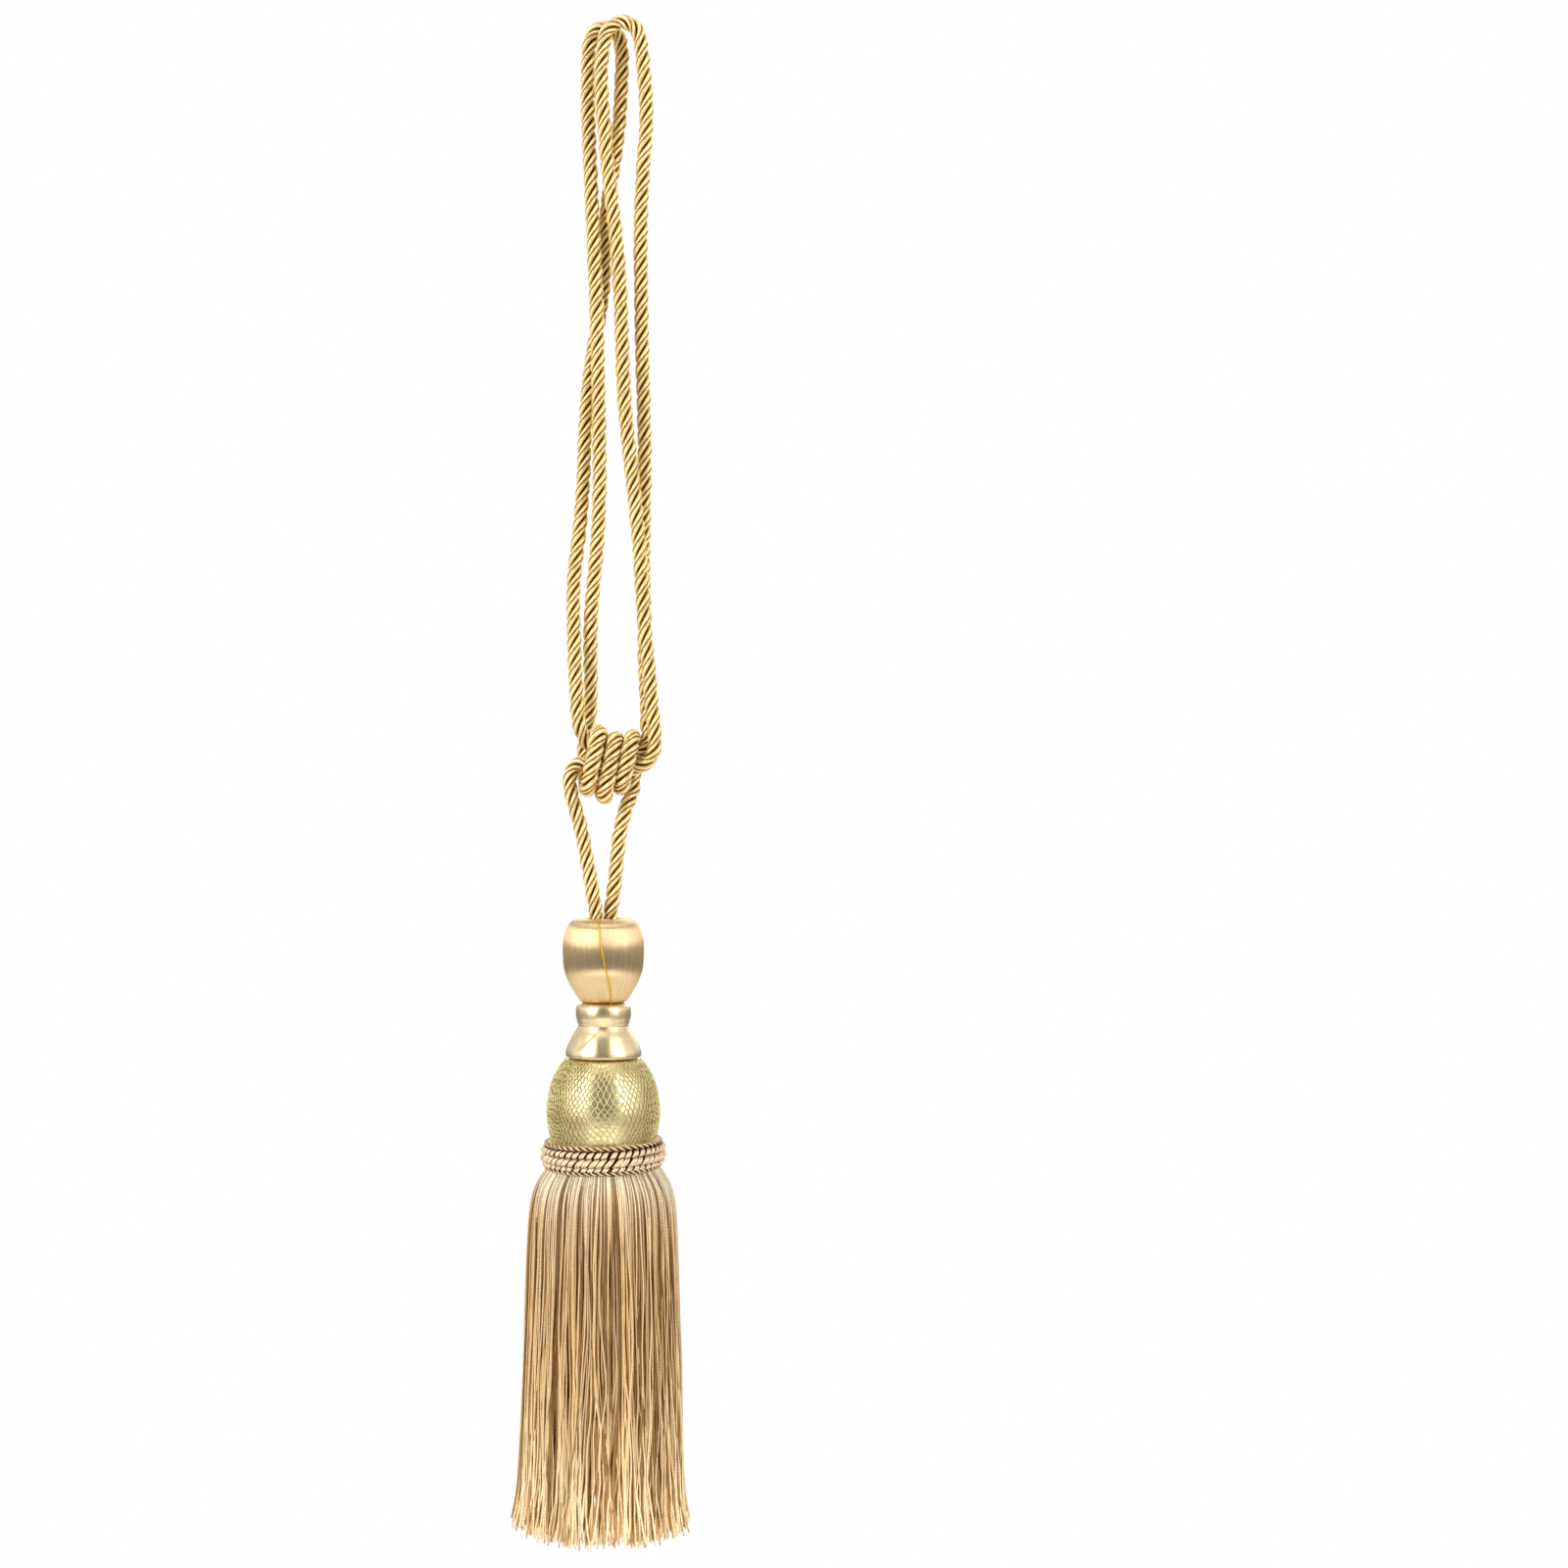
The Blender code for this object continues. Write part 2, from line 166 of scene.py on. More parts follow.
def finish_mesh(name, points, faces_by_size, material, uv=None, tones=None):
    """A smooth mesh object from points in millimetres and an array of faces for each face size.

    uv holds one pair for each face corner, in the order of the faces. tones holds one value for
    each point, or one for all, under each attribute's name.
    """
    mesh = bpy.data.meshes.new(name)
    mesh.vertices.add(points.size // 3)
    mesh.vertices.foreach_set("co", (points * MM).astype(np.float32).ravel())
    corners = np.concatenate([faces.ravel() for faces in faces_by_size])
    sizes = np.concatenate([np.full(len(f), f.shape[1]) for f in faces_by_size])
    mesh.loops.add(len(corners))
    mesh.loops.foreach_set("vertex_index", corners.astype(np.int32))
    mesh.polygons.add(len(sizes))
    starts = np.concatenate(([0], np.cumsum(sizes)[:-1]))
    mesh.polygons.foreach_set("loop_start", starts.astype(np.int32))
    mesh.update(calc_edges=True)
    mesh.shade_smooth()
    if uv is not None:
        layer = mesh.uv_layers.new(name="lay")
        layer.data.foreach_set("uv", uv.astype(np.float32).ravel())
    for key, values in (tones or {}).items():
        attribute = mesh.attributes.new(key, "FLOAT", "POINT")
        shades = np.ravel(values) + np.zeros(len(mesh.vertices))
        attribute.data.foreach_set("value", shades.astype(np.float32))
    mesh.materials.append(material)
    made = bpy.data.objects.new(name, mesh)
    studio.collection.objects.link(made)
    return made


def new_material(name):
    """A material, its node tree and its shader."""
    material = bpy.data.materials.new(name)
    material.use_nodes = True
    return material, material.node_tree, material.node_tree.nodes["Principled BSDF"]


floor_turn = np.linspace(0.0, 2 * np.pi, FLOOR_SIDES, endpoint=False)
floor_rim = np.stack((
    FLOOR_RADIUS * np.cos(floor_turn), FLOOR_RADIUS * np.sin(floor_turn),
    np.full(FLOOR_SIDES, FLOOR_Z)), axis=1)
floor_paint, floor_tree, floor_shader = new_material("floor_paint")
feed(floor_tree, floor_shader, {"Base Color": FLOOR_COLOUR, "Roughness": FLOOR_ROUGHNESS})
floor = finish_mesh("floor", floor_rim / MM, [np.arange(FLOOR_SIDES)[None, :]], floor_paint)

# --- Rope -------------------------------------------------------------------------------------
# Furnishing rope of three strands of silky viscose yarn, laid right-handed. One length is
# doubled into the two loops for the hook, tied in a barrel knot of three turns under them, and
# both its ends are sewn inside the bead's bore.

STRAND_RADIUS = 1.80
STRAND_PLACE = 1.52                # from the rope's middle to each strand's middle
ROPE_STRANDS = 3
ROPE_PITCH = 21.6                  # one full turn of the lay
ROPE_RING_SPACING = 1.2
KNOT_SWELL = 0.14                  # the knot's turns are pressed together, a little fuller
KNOT_TIGHTER_LAY = 0.25            # and their strands lie more across
KNOT_EASE = 12.0                   # both come and go over this length
CM_A_MM = 0.1                      # v counts centimetres, but not on the net, loops and cords

ARCH_TOP_Z = 3.3
FRONT_ARCH = {"middle_x": 3.8, "depth": -3.6, "half_width": 8.2, "rise": 10.9}
REAR_ARCH = {"middle_x": -3.4, "depth": 3.6, "half_width": 6.9, "rise": 9.2}
ARCH_STEPS = 6
WRAP_RADIUS = 8.0
WRAP_COLUMNS = ("back_x", "bottom_x", "bottom_z", "top_x", "top_z")
WRAPS = (
    (-12.1, -11.1, -324.2, -6.2, -299.9),
    (-5.3, -3.9, -327.4, 0.9, -302.8),
    (1.6, 3.4, -323.4, 8.2, -302.0),
)
LAST_BACK_X = 8.7

# The rope's route as it hangs, stretch by stretch, (x, y, z).
LEG_LEFT = [
    (-7.2, -1.8, -384.6), (-7.2, -1.8, -379.3), (-8.0, -1.5, -373.4), (-9.7, -0.8, -363.7),
    (-12.2, 0.0, -349.9), (-14.7, 0.0, -338.1), (-17.1, 0.0, -329.7), (-18.5, 0.0, -323.8),
    (-18.6, 0.0, -318.8), (-17.0, 0.0, -315.0), (-13.9, -0.2, -313.3),
]
KNOT_PASS_RIGHT = [
    (-9.7, -0.6, -313.5), (-4.2, -1.0, -315.2), (0.8, -1.1, -316.4), (5.0, -1.1, -316.2),
    (10.2, -2.6, -315.2), (14.7, -3.9, -312.5), (17.2, -4.2, -307.4), (17.6, -4.1, -302.0),
    (17.1, -3.8, -295.7),
]
FRONT_RISE = [
    (16.4, -3.7, -289.4), (15.3, -3.6, -275.9), (14.1, -3.6, -263.3), (13.0, -3.6, -250.7),
    (12.2, -3.6, -237.3), (11.1, -3.6, -221.3), (9.0, -3.6, -199.5), (6.5, -3.6, -177.7),
    (4.8, -3.6, -159.2), (3.6, -3.6, -131.0), (2.3, -3.6, -102.1), (0.4, -3.6, -82.7),
    (-2.3, -3.6, -59.6), (-4.5, -3.6, -34.4), (-5.3, -3.6, -19.7),
]
RIGHT_FALL = [
    (13.2, -3.6, -19.7), (14.1, -3.2, -34.4), (13.2, -2.2, -53.3), (12.1, -1.2, -72.2),
    (11.8, 0.6, -99.5), (12.3, 2.2, -128.9), (12.9, 3.3, -154.1), (13.5, 3.6, -179.3),
    (13.2, 3.6, -204.5), (13.0, 3.6, -229.7), (13.5, 3.6, -254.9), (13.9, 3.5, -278.0),
    (14.5, 3.3, -291.1), (14.7, 2.8, -298.2), (14.8, 1.8, -303.8), (12.6, 0.8, -307.8),
    (9.0, 0.6, -309.5),
]
KNOT_PASS_LEFT = [
    (4.6, 0.9, -309.6), (0.8, 1.0, -309.7), (-4.2, 1.0, -308.3), (-9.2, 0.2, -306.2),
    (-12.6, -1.6, -302.4), (-14.4, -3.3, -297.4),
]
LEFT_RISE = [
    (-15.5, -3.9, -289.4), (-16.4, -3.4, -271.7), (-17.0, -1.8, -254.9), (-17.0, 0.0, -238.1),
    (-15.5, 1.6, -221.3), (-13.4, 3.0, -200.3), (-12.4, 3.6, -177.7), (-11.1, 3.6, -155.0),
    (-7.6, 3.6, -129.8), (-4.4, 3.6, -110.0), (-3.6, 3.6, -86.9), (-1.7, 3.6, -68.0),
    (1.3, 3.6, -49.1), (2.9, 3.6, -32.3), (3.6, 3.6, -18.9),
]
REAR_FALL = [
    (-11.0, 3.4, -21.8), (-10.7, 2.6, -36.5), (-9.7, 0.5, -61.7), (-8.4, -2.0, -91.1),
    (-7.3, -3.4, -116.3), (-6.5, -3.6, -147.8), (-6.0, -3.4, -179.3), (-6.3, -2.0, -208.7),
    (-7.8, -0.5, -229.7), (-9.5, 1.2, -248.6), (-9.8, 2.9, -267.5), (-9.7, 4.4, -282.2),
    (-10.5, 6.2, -293.6), (-12.2, 7.6, -302.8),
]
LEG_RIGHT = [
    (8.7, 6.8, -322.4), (8.0, 5.0, -326.5), (6.5, 2.9, -329.8), (4.9, 1.0, -334.1),
    (3.1, 0.5, -341.5), (1.8, 0.6, -351.5), (0.8, 0.9, -362.0), (-0.3, 1.4, -371.7),
    (-1.4, 1.8, -379.3), (-1.5, 1.8, -384.6),
]


def arch(middle_x, depth, half_width, rise):
    """Half an oval over the hook, from its left foot to its right foot."""
    turn = np.linspace(0.0, np.pi, ARCH_STEPS + 1)
    x = middle_x - half_width * np.cos(turn)
    z = ARCH_TOP_Z - rise * (1.0 - np.sin(turn))
    return list(zip(x, np.full_like(x, depth), z))


def wrap_points():
    """The knot's turns: each runs under, up the front, over, and down the back to the next."""
    points = []
    eighths = np.pi * np.arange(5) / 4
    for index, row in enumerate(WRAPS):
        wrap = dict(zip(WRAP_COLUMNS, row))
        last = index == len(WRAPS) - 1
        next_back_x = LAST_BACK_X if last else WRAPS[index + 1][0]
        lean = (wrap["top_x"] - wrap["bottom_x"]) / (wrap["top_z"] - wrap["bottom_z"])
        halves = (
            (1.0, wrap["bottom_x"], wrap["bottom_z"], wrap["back_x"]),
            (-1.0, wrap["top_x"], wrap["top_z"], next_back_x),
        )
        for side, end_x, end_z, back_x in halves:
            y = side * WRAP_RADIUS * np.cos(eighths)
            z = end_z + side * WRAP_RADIUS * (1.0 - np.sin(eighths))
            front_x = end_x + lean * (z - end_z)
            back_share = np.maximum(0.0, side * np.cos(eighths))
            points += list(zip(front_x + back_share * (back_x - front_x), y, z))
    return points


def rope_route():
    """All the route's points in order, from one end in the bead to the other."""
    return (
        LEG_LEFT + KNOT_PASS_RIGHT + FRONT_RISE + arch(**FRONT_ARCH) + RIGHT_FALL
        + KNOT_PASS_LEFT + LEFT_RISE + arch(**REAR_ARCH)[::-1] + REAR_FALL + wrap_points()
        + LEG_RIGHT
    )


FINE_STEP = 0.2                    # a curve is first drawn this finely, then spaced evenly


def smooth_curve(points, spacing):
    """Evenly spaced points on the natural cubic spline through the route's points.

    Between points p and q it is near·p + far·q + ((near³ - near)·b + (far³ - far)·c)·width²/6,
    where near + far = 1 and the bends b and c make the slopes meet.
    """
    knots = np.array(points)
    chords = np.linalg.norm(np.diff(knots, axis=0), axis=1)
    place = np.concatenate(([0.0], np.cumsum(chords)))
    count = len(knots)
    slopes = np.diff(knots, axis=0) / chords[:, None]
    matrix = np.eye(count)
    inner = np.arange(1, count - 1)
    matrix[inner, inner - 1] = chords[:-1] / 6
    matrix[inner, inner] = (chords[:-1] + chords[1:]) / 3
    matrix[inner, inner + 1] = chords[1:] / 6
    right = np.zeros((count, 3))
    right[inner] = slopes[1:] - slopes[:-1]
    bend = np.linalg.solve(matrix, right)
    fine = np.linspace(0.0, place[-1], int(place[-1] / FINE_STEP))
    span = np.clip(np.searchsorted(place, fine, side="right") - 1, 0, count - 2)
    width = chords[span][:, None]
    far = (fine - place[span])[:, None] / width
    near = 1.0 - far
    curve = near * knots[span] + far * knots[span + 1]
    curve += ((near**3 - near) * bend[span] + (far**3 - far) * bend[span + 1]) * width**2 / 6
    run = np.concatenate(([0.0], np.cumsum(np.linalg.norm(np.diff(curve, axis=0), axis=1))))
    steps = int(round(run[-1] / spacing))
    even = np.linspace(0.0, run[-1], steps + 1)
    return np.stack([np.interp(even, run, curve[:, axis]) for axis in range(3)], axis=1)


def carried_frames(centres):
    """Normal and binormal at each point of the line, carried along it without turning."""
    tangents = np.gradient(centres, axis=0)
    tangents /= np.linalg.norm(tangents, axis=1)[:, None]
    normal = np.cross(tangents[0], (0.0, 1.0, 0.0))
    normals = []
    for tangent in tangents:
        normal = normal - tangent * np.dot(normal, tangent)
        normal = normal / np.linalg.norm(normal)
        normals.append(normal)
    normals = np.array(normals)
    return normals, np.cross(tangents, normals)


def around(centres, normals, binormals, angles, radii):
    """Points round each centre: centre + radius (cos angle · normal + sin angle · binormal)."""
    across = np.cos(angles)[..., None] * normals[..., None, :]
    across = across + np.sin(angles)[..., None] * binormals[..., None, :]
    return centres[..., None, :] + radii[..., None] * across


def tube_faces(tubes, rings, sides, closed=False):
    """Quads between the rings of each tube, and a cap on each end of a tube that isn't closed."""
    index = np.arange(tubes * rings * sides).reshape(tubes, rings, sides)
    onward = np.roll(index, -1, axis=1) if closed else index[:, 1:]
    here = index if closed else index[:, :-1]
    beside = np.roll(here, -1, axis=2)
    quads = np.stack((here, beside, np.roll(onward, -1, axis=2), onward), axis=-1)
    faces = [quads.reshape(-1, 4)]
    if not closed:
        faces.append(np.concatenate((index[:, 0, ::-1], index[:, -1, :])))
    return faces


def tube_uv(along, sides, turns=1, closed=False):
    """Face corners' UV: u counts the given turns round the tube, v is the length along it.

    along has a row for each tube and a value for each ring, and one more where the tubes close.
    """
    u = np.arange(sides + 1) / sides * turns
    uv = np.empty((len(along), along.shape[1] - 1, sides, 4, 2))
    uv[..., 0] = np.stack((u[:-1], u[1:], u[1:], u[:-1]), axis=-1)
    v = np.stack((along[:, :-1], along[:, :-1], along[:, 1:], along[:, 1:]), axis=-1)
    uv[..., 1] = v[:, :, None]
    if closed:
        return uv.reshape(-1, 2)
    ends = np.repeat(along[:, (0, -1)].T.ravel(), sides)
    cap_uv = np.stack((np.zeros_like(ends), ends), axis=-1)
    return np.concatenate((uv.reshape(-1, 2), cap_uv))


YARN_STEPS = (0.0, 0.32, 0.85)     # where on the ramp crest, side and painted-shade colours stand
# How narrow the painted shade in the seams between plies is
SEAM_NARROWNESS = 2.5
FIBRE_STRETCH = 0.9                # the fibres' noise to one in v
OTHER_FIBRES = 37.0                # a yarn of another tone gets other fibres
YARN_RELIEF = 0.00014


def silky_yarn(name, crest, side, painted_shade, fibres, plies, turns, painted_seam_shades, tone_reach, gloss):
    """Silky twisted yarn, coloured from its crest over its side to its painted_shade colour.

    The painted_shade attribute paints shade on the yarn's sides, grooves and hollows (on the skirt
    it also carries the darker yarns' own colour). The plies are ridges |sin π(plies·u + turns·v)|
    that climb round the yarn, with painted shade of so much in the seams between them, and fine
    fibres run along them as stretched noise. Both lie in relief and shade the colour, as each
    yarn's own tone does.
    """
    material, tree, shader = new_material(name)
    lay = add_node(tree, "SeparateXYZ", {0: add_node(tree, "UVMap", uv_map="lay").outputs[0]})
    u, v = lay.outputs["X"], lay.outputs["Y"]
    depth = add_node(tree, "Attribute", attribute_name="painted_shade").outputs["Fac"]
    tone = add_node(tree, "Attribute", attribute_name="tone").outputs["Fac"]
    climb = arithmetic(tree, "MULTIPLY_ADD", v, turns, arithmetic(tree, "MULTIPLY", u, plies))
    ridge = arithmetic(tree, "ABSOLUTE", arithmetic(
        tree, "SINE", arithmetic(tree, "MULTIPLY", climb, math.pi)))
    painted_seam_shade = arithmetic(
        tree, "POWER", arithmetic(tree, "SUBTRACT", 1.0, ridge), SEAM_NARROWNESS)
    place = add_node(tree, "CombineXYZ", {
        0: arithmetic(tree, "MULTIPLY", climb, fibres),
        1: arithmetic(tree, "MULTIPLY", v, FIBRE_STRETCH),
        2: arithmetic(tree, "MULTIPLY", tone, OTHER_FIBRES)})
    fibre = add_node(tree, "TexNoise", {
        "Vector": place.outputs[0], "Scale": 1.0, "Detail": 2.0}).outputs["Fac"]
    painted_shade_share = arithmetic(tree, "MULTIPLY_ADD", painted_seam_shade, painted_seam_shades, depth)
    base = colour_steps(tree, painted_shade_share, tuple(zip(YARN_STEPS, (crest, side, painted_shade))))
    light = arithmetic(tree, "MULTIPLY_ADD", fibre, 0.60, 0.70)
    light = arithmetic(tree, "MULTIPLY_ADD", tone, tone_reach, light)
    shaded = add_node(tree, "VectorMath", {0: base, "Scale": light}, operation="SCALE")
    relief = arithmetic(tree, "MULTIPLY_ADD", ridge, 0.9, arithmetic(tree, "MULTIPLY", fibre, 0.5))
    bump = add_node(tree, "Bump", {"Height": relief, "Strength": 0.8, "Distance": YARN_RELIEF})
    feed(tree, shader, {
        "Base Color": shaded.outputs[0], "Normal": bump.outputs[0],
        "Roughness": arithmetic(tree, "MULTIPLY_ADD", fibre, 0.20, gloss - 0.10),
        "Metallic": 0.30, "Specular IOR Level": 0.35,
        "Sheen Weight": 0.05, "Sheen Roughness": 0.40})
    return material


# The rope's section: each strand's third of it changes with the turn off the strand's middle, in
# degrees. A strand is two plies with a groove between them, and its sides close steeply.
STRAND_SAMPLES = np.array((0.0, 3.5, 7.5, 12.0, 18.0, 24.0, 30.0, 37.0, 44.0, 49.5, 54.5))
STRAND_EDGE = 60.0
PLY_CREST = 27.0
PLY_GROOVE = ((0.36, 11.0), (0.34, 4.0))      # depth and half width of its wide and narrow parts
GROOVE_PAINTED_SHADE = (0.85, 5.0)                    # painted shade in the groove between plies: darkness and half width
# Painted shade growing from each ply's crest towards its sides
PLY_SIDE_PAINTED_SHADE = 0.55
SLIT_FROM, SLIT_SOFTNESS, SLIT_DEPTH = 50.0, 1.3, 0.7
# Smooth noise along the rope: how far apart its values stand, and how far they reach.
LAY_WANDER = (30.0, 0.18)
STRAND_WANDER = (14.0, 0.035)
GROOVE_WANDER = (11.0, 0.30)
TONE_WANDER = (18.0, 0.5)

rng = np.random.default_rng(11)


def bell(offset, height, half_width):
    """A rounded ridge: height · exp(-(offset / half width)²)."""
    return height * np.exp(-(offset / half_width) ** 2)


def wander(place, spacing, reach):
    """Smooth noise along a line: random values at even spacing, joined by half cosine waves."""
    knots = rng.uniform(-1.0, 1.0, int(place[-1] / spacing) + 3)
    step = np.clip(place / spacing, 0.0, len(knots) - 1.001)
    low = step.astype(int)
    blend = 0.5 - 0.5 * np.cos(np.pi * (step - low))
    return reach * (knots[low] * (1 - blend) + knots[low + 1] * blend)


def strand_wander(place, spacing, reach):
    """Each strand's own smooth noise, the same for all the points of its share of the section."""
    lines = [wander(place, spacing, reach) for _ in range(ROPE_STRANDS)]
    return np.repeat(np.stack(lines, axis=1), len(strand_turns), axis=1)


strand_turns = np.concatenate((-STRAND_SAMPLES[:0:-1], STRAND_SAMPLES, (STRAND_EDGE,)))
rope_turns = (
    strand_turns[None, :] + 2 * STRAND_EDGE * np.arange(ROPE_STRANDS)[:, None]).ravel()
off_middle = np.abs(np.tile(strand_turns, ROPE_STRANDS))
across_strand = STRAND_PLACE * np.sin(np.radians(off_middle))
slit = 1.0 / (1.0 + np.exp(-(off_middle - SLIT_FROM) / SLIT_SOFTNESS))
rope_full = STRAND_PLACE * np.cos(np.radians(off_middle)) + np.sqrt(
    STRAND_RADIUS**2 - across_strand**2)
rope_full -= SLIT_DEPTH * slit
between_plies = sum(bell(off_middle, *part) for part in PLY_GROOVE)
# Painted shade: full in the slits between strands, dark in the groove between a strand's plies, and
# growing from each ply's crest towards its sides.
ply_groove_painted_shade = bell(off_middle, *GROOVE_PAINTED_SHADE)
ply_side = PLY_SIDE_PAINTED_SHADE * ((off_middle - PLY_CREST) / PLY_CREST) ** 2
rope_painted_shade = np.max((slit, ply_groove_painted_shade, ply_side), axis=0)

rope_centres = smooth_curve(rope_route(), ROPE_RING_SPACING)
rope_normals, rope_binormals = carried_frames(rope_centres)
rope_steps = np.linalg.norm(np.diff(rope_centres, axis=0), axis=1)
rope_along = np.concatenate(([0.0], np.cumsum(rope_steps)))

knot_from = np.argmin(np.linalg.norm(rope_centres - np.array(REAR_FALL[-1]), axis=1))
knot_to = np.argmin(np.linalg.norm(rope_centres - np.array(LEG_RIGHT[0]), axis=1))
ease_in = np.clip((rope_along - rope_along[knot_from]) / KNOT_EASE, 0.0, 1.0)
ease_out = np.clip((rope_along[knot_to] - rope_along) / KNOT_EASE, 0.0, 1.0)
in_knot = np.minimum(ease_in, ease_out)
lay_wander = wander(rope_along, *LAY_WANDER)
lay_rate = 2 * np.pi / ROPE_PITCH * (1.0 + KNOT_TIGHTER_LAY * in_knot)
lay = np.concatenate(([0.0], np.cumsum(lay_rate[1:] * rope_steps))) + lay_wander
rope_angles = lay[:, None] + np.radians(rope_turns)[None, :]
rope_radii = rope_full * (1 + strand_wander(rope_along, *STRAND_WANDER))
rope_radii -= (1 + strand_wander(rope_along, *GROOVE_WANDER)) * between_plies
rope_radii *= 1.0 + KNOT_SWELL * in_knot[:, None]
rope_points = around(rope_centres, rope_normals, rope_binormals, rope_angles, rope_radii)

rope_tone = 0.5 + strand_wander(rope_along, *TONE_WANDER)
# The rope's colours: a cream crest, painted shade on the strands' sides, near-black painted shade
# in the slits.
rope = finish_mesh(
    "twisted_rope", rope_points,
    tube_faces(1, len(rope_centres), len(rope_turns)),
    silky_yarn("rope_silk", (1.00, 0.84, 0.42), (0.56, 0.29, 0.055), (0.035, 0.009, 0.001),
               fibres=22.0, plies=1.0, turns=0.0, painted_seam_shades=0.14, tone_reach=0.20, gloss=0.30),
    uv=tube_uv(rope_along[None, :] * CM_A_MM, len(rope_turns), ROPE_STRANDS),
    tones={"painted_shade": np.tile(rope_painted_shade, len(rope_centres)), "tone": rope_tone})
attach(rope, "root")
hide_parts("rope")

# --- Bead -------------------------------------------------------------------------------------
# A wooden barrel bead wound with satin thread. Each turn of thread goes down the outside and
# back up the bore, so the threads run from top to bottom; one gold thread lies over them.

AXIS_X = -4.3                      # the tassel's own axis
BEAD_TOP_Z = -379.7
BEAD = (
    # below the top, radius
    (5.0, 7.2), (1.2, 7.3), (0.35, 7.9), (0.0, 8.8), (-0.05, 10.2), (0.15, 11.6), (0.9, 13.2),
    (2.4, 14.8), (5.5, 16.3), (8.8, 17.1), (14.0, 17.4), (18.9, 17.2), (22.3, 16.7),
    (25.6, 15.6), (29.0, 14.0), (32.3, 12.0), (35.2, 9.9), (35.8, 9.0), (35.8, 6.0),
)
BEAD_HEIGHT = BEAD[-1][0]
BEAD_ROW_SPACING = 0.85
BEAD_THREADS = 260
THREAD_SAMPLES = 3
THREAD_RISE = 0.05
THREAD_UNEVENNESS = (0.6, 1.25)
THREAD_LEAN = 0.10                 # the most turn by which threads lean, each like its neighbours
LEANING_TOGETHER = 13
FOOT_PAINTED_SHADE = (0.8, 0.9)            # painted shade at the bead's foot, against the collar: how dark, and how high
THREAD_STEPS = (0.30, 0.80)        # where on the ramp the pale and the deep colour stand
THREAD_STRETCH = 0.55              # the threads' noise to one in v


def rounded_profile(rows, spacing):
    """The smooth curve through a table of (below, radius), as its even radii and their belows."""
    flat = [(below, radius, 0.0) for below, radius in rows]
    curve = smooth_curve(flat, spacing)
    return curve[:, 1], curve[:, 0]


def turned_points(radii, heights, turns):
    """Points round the tassel's axis, row by row from the bottom up, each row at one height."""
    x = AXIS_X + radii * np.cos(turns)
    y = radii * np.sin(turns)
    return np.stack((x, y, heights[:, None] + np.zeros_like(x)), axis=-1)[::-1]


def thread_satin(name, pale, deep, streaks, metallic, roughness, relief, stretch=0.0):
    """Satin of fine threads: the colour wavers from pale to deep from one thread to the next, and
    the painted_shade attribute paints shade towards deep.

    The wavering is noise of so many streaks round the piece, drawn out along the threads. Light
    glances off round threads in bands across them, so the gloss is stretched along u.
    """
    material, tree, shader = new_material(name)
    lay = add_node(tree, "SeparateXYZ", {0: add_node(tree, "UVMap", uv_map="lay").outputs[0]})
    place = add_node(tree, "CombineXYZ", {
        0: arithmetic(tree, "MULTIPLY", lay.outputs["X"], streaks),
        1: arithmetic(tree, "MULTIPLY", lay.outputs["Y"], THREAD_STRETCH)})
    streak = add_node(tree, "TexNoise", {
        "Vector": place.outputs[0], "Scale": 1.0, "Detail": 3.0, "Roughness": 0.6}).outputs["Fac"]
    depth = add_node(tree, "Attribute", attribute_name="painted_shade").outputs["Fac"]
    share = arithmetic(tree, "MULTIPLY_ADD", depth, 0.55, arithmetic(tree, "MULTIPLY", streak, 0.8))
    bump = add_node(tree, "Bump", {"Height": streak, "Strength": 0.6, "Distance": relief})
    round_u = add_node(tree, "Tangent", direction_type="UV_MAP", uv_map="lay")
    feed(tree, shader, {
        "Base Color": colour_steps(tree, share, tuple(zip(THREAD_STEPS, (pale, deep)))),
        "Roughness": arithmetic(tree, "MULTIPLY_ADD", streak, 0.16, roughness - 0.08),
        "Normal": bump.outputs[0], "Tangent": round_u.outputs[0],
        "Anisotropic": stretch, "Metallic": metallic})
    return material


bead_radii, bead_below = rounded_profile(BEAD, BEAD_ROW_SPACING)
bead_rows = len(bead_radii)
bead_sides = BEAD_THREADS * THREAD_SAMPLES
bead_turns = np.linspace(0.0, 2 * np.pi, bead_sides, endpoint=False)
thread_number = np.arange(bead_sides) // THREAD_SAMPLES
thread_round = np.abs(np.sin(np.pi * (np.arange(bead_sides) % THREAD_SAMPLES) / THREAD_SAMPLES))
thread_height = rng.uniform(*THREAD_UNEVENNESS, BEAD_THREADS)[thread_number] * THREAD_RISE
thread_lean = np.convolve(
    rng.uniform(-1, 1, BEAD_THREADS + LEANING_TOGETHER - 1),
    np.ones(LEANING_TOGETHER) / LEANING_TOGETHER, "valid")
thread_lean = THREAD_LEAN * np.repeat(thread_lean, THREAD_SAMPLES)
bead_share = bead_below[:, None] / BEAD_HEIGHT
bead_spread = bead_turns + thread_lean * np.sin(np.pi * bead_share * 1.5)
bead_skin = bead_radii[:, None] + thread_height * thread_round - 0.5 * THREAD_RISE
bead_points = turned_points(bead_skin, BEAD_TOP_Z - bead_below, bead_spread)
bead_along = np.arange(bead_rows)[None, ::-1] * BEAD_ROW_SPACING
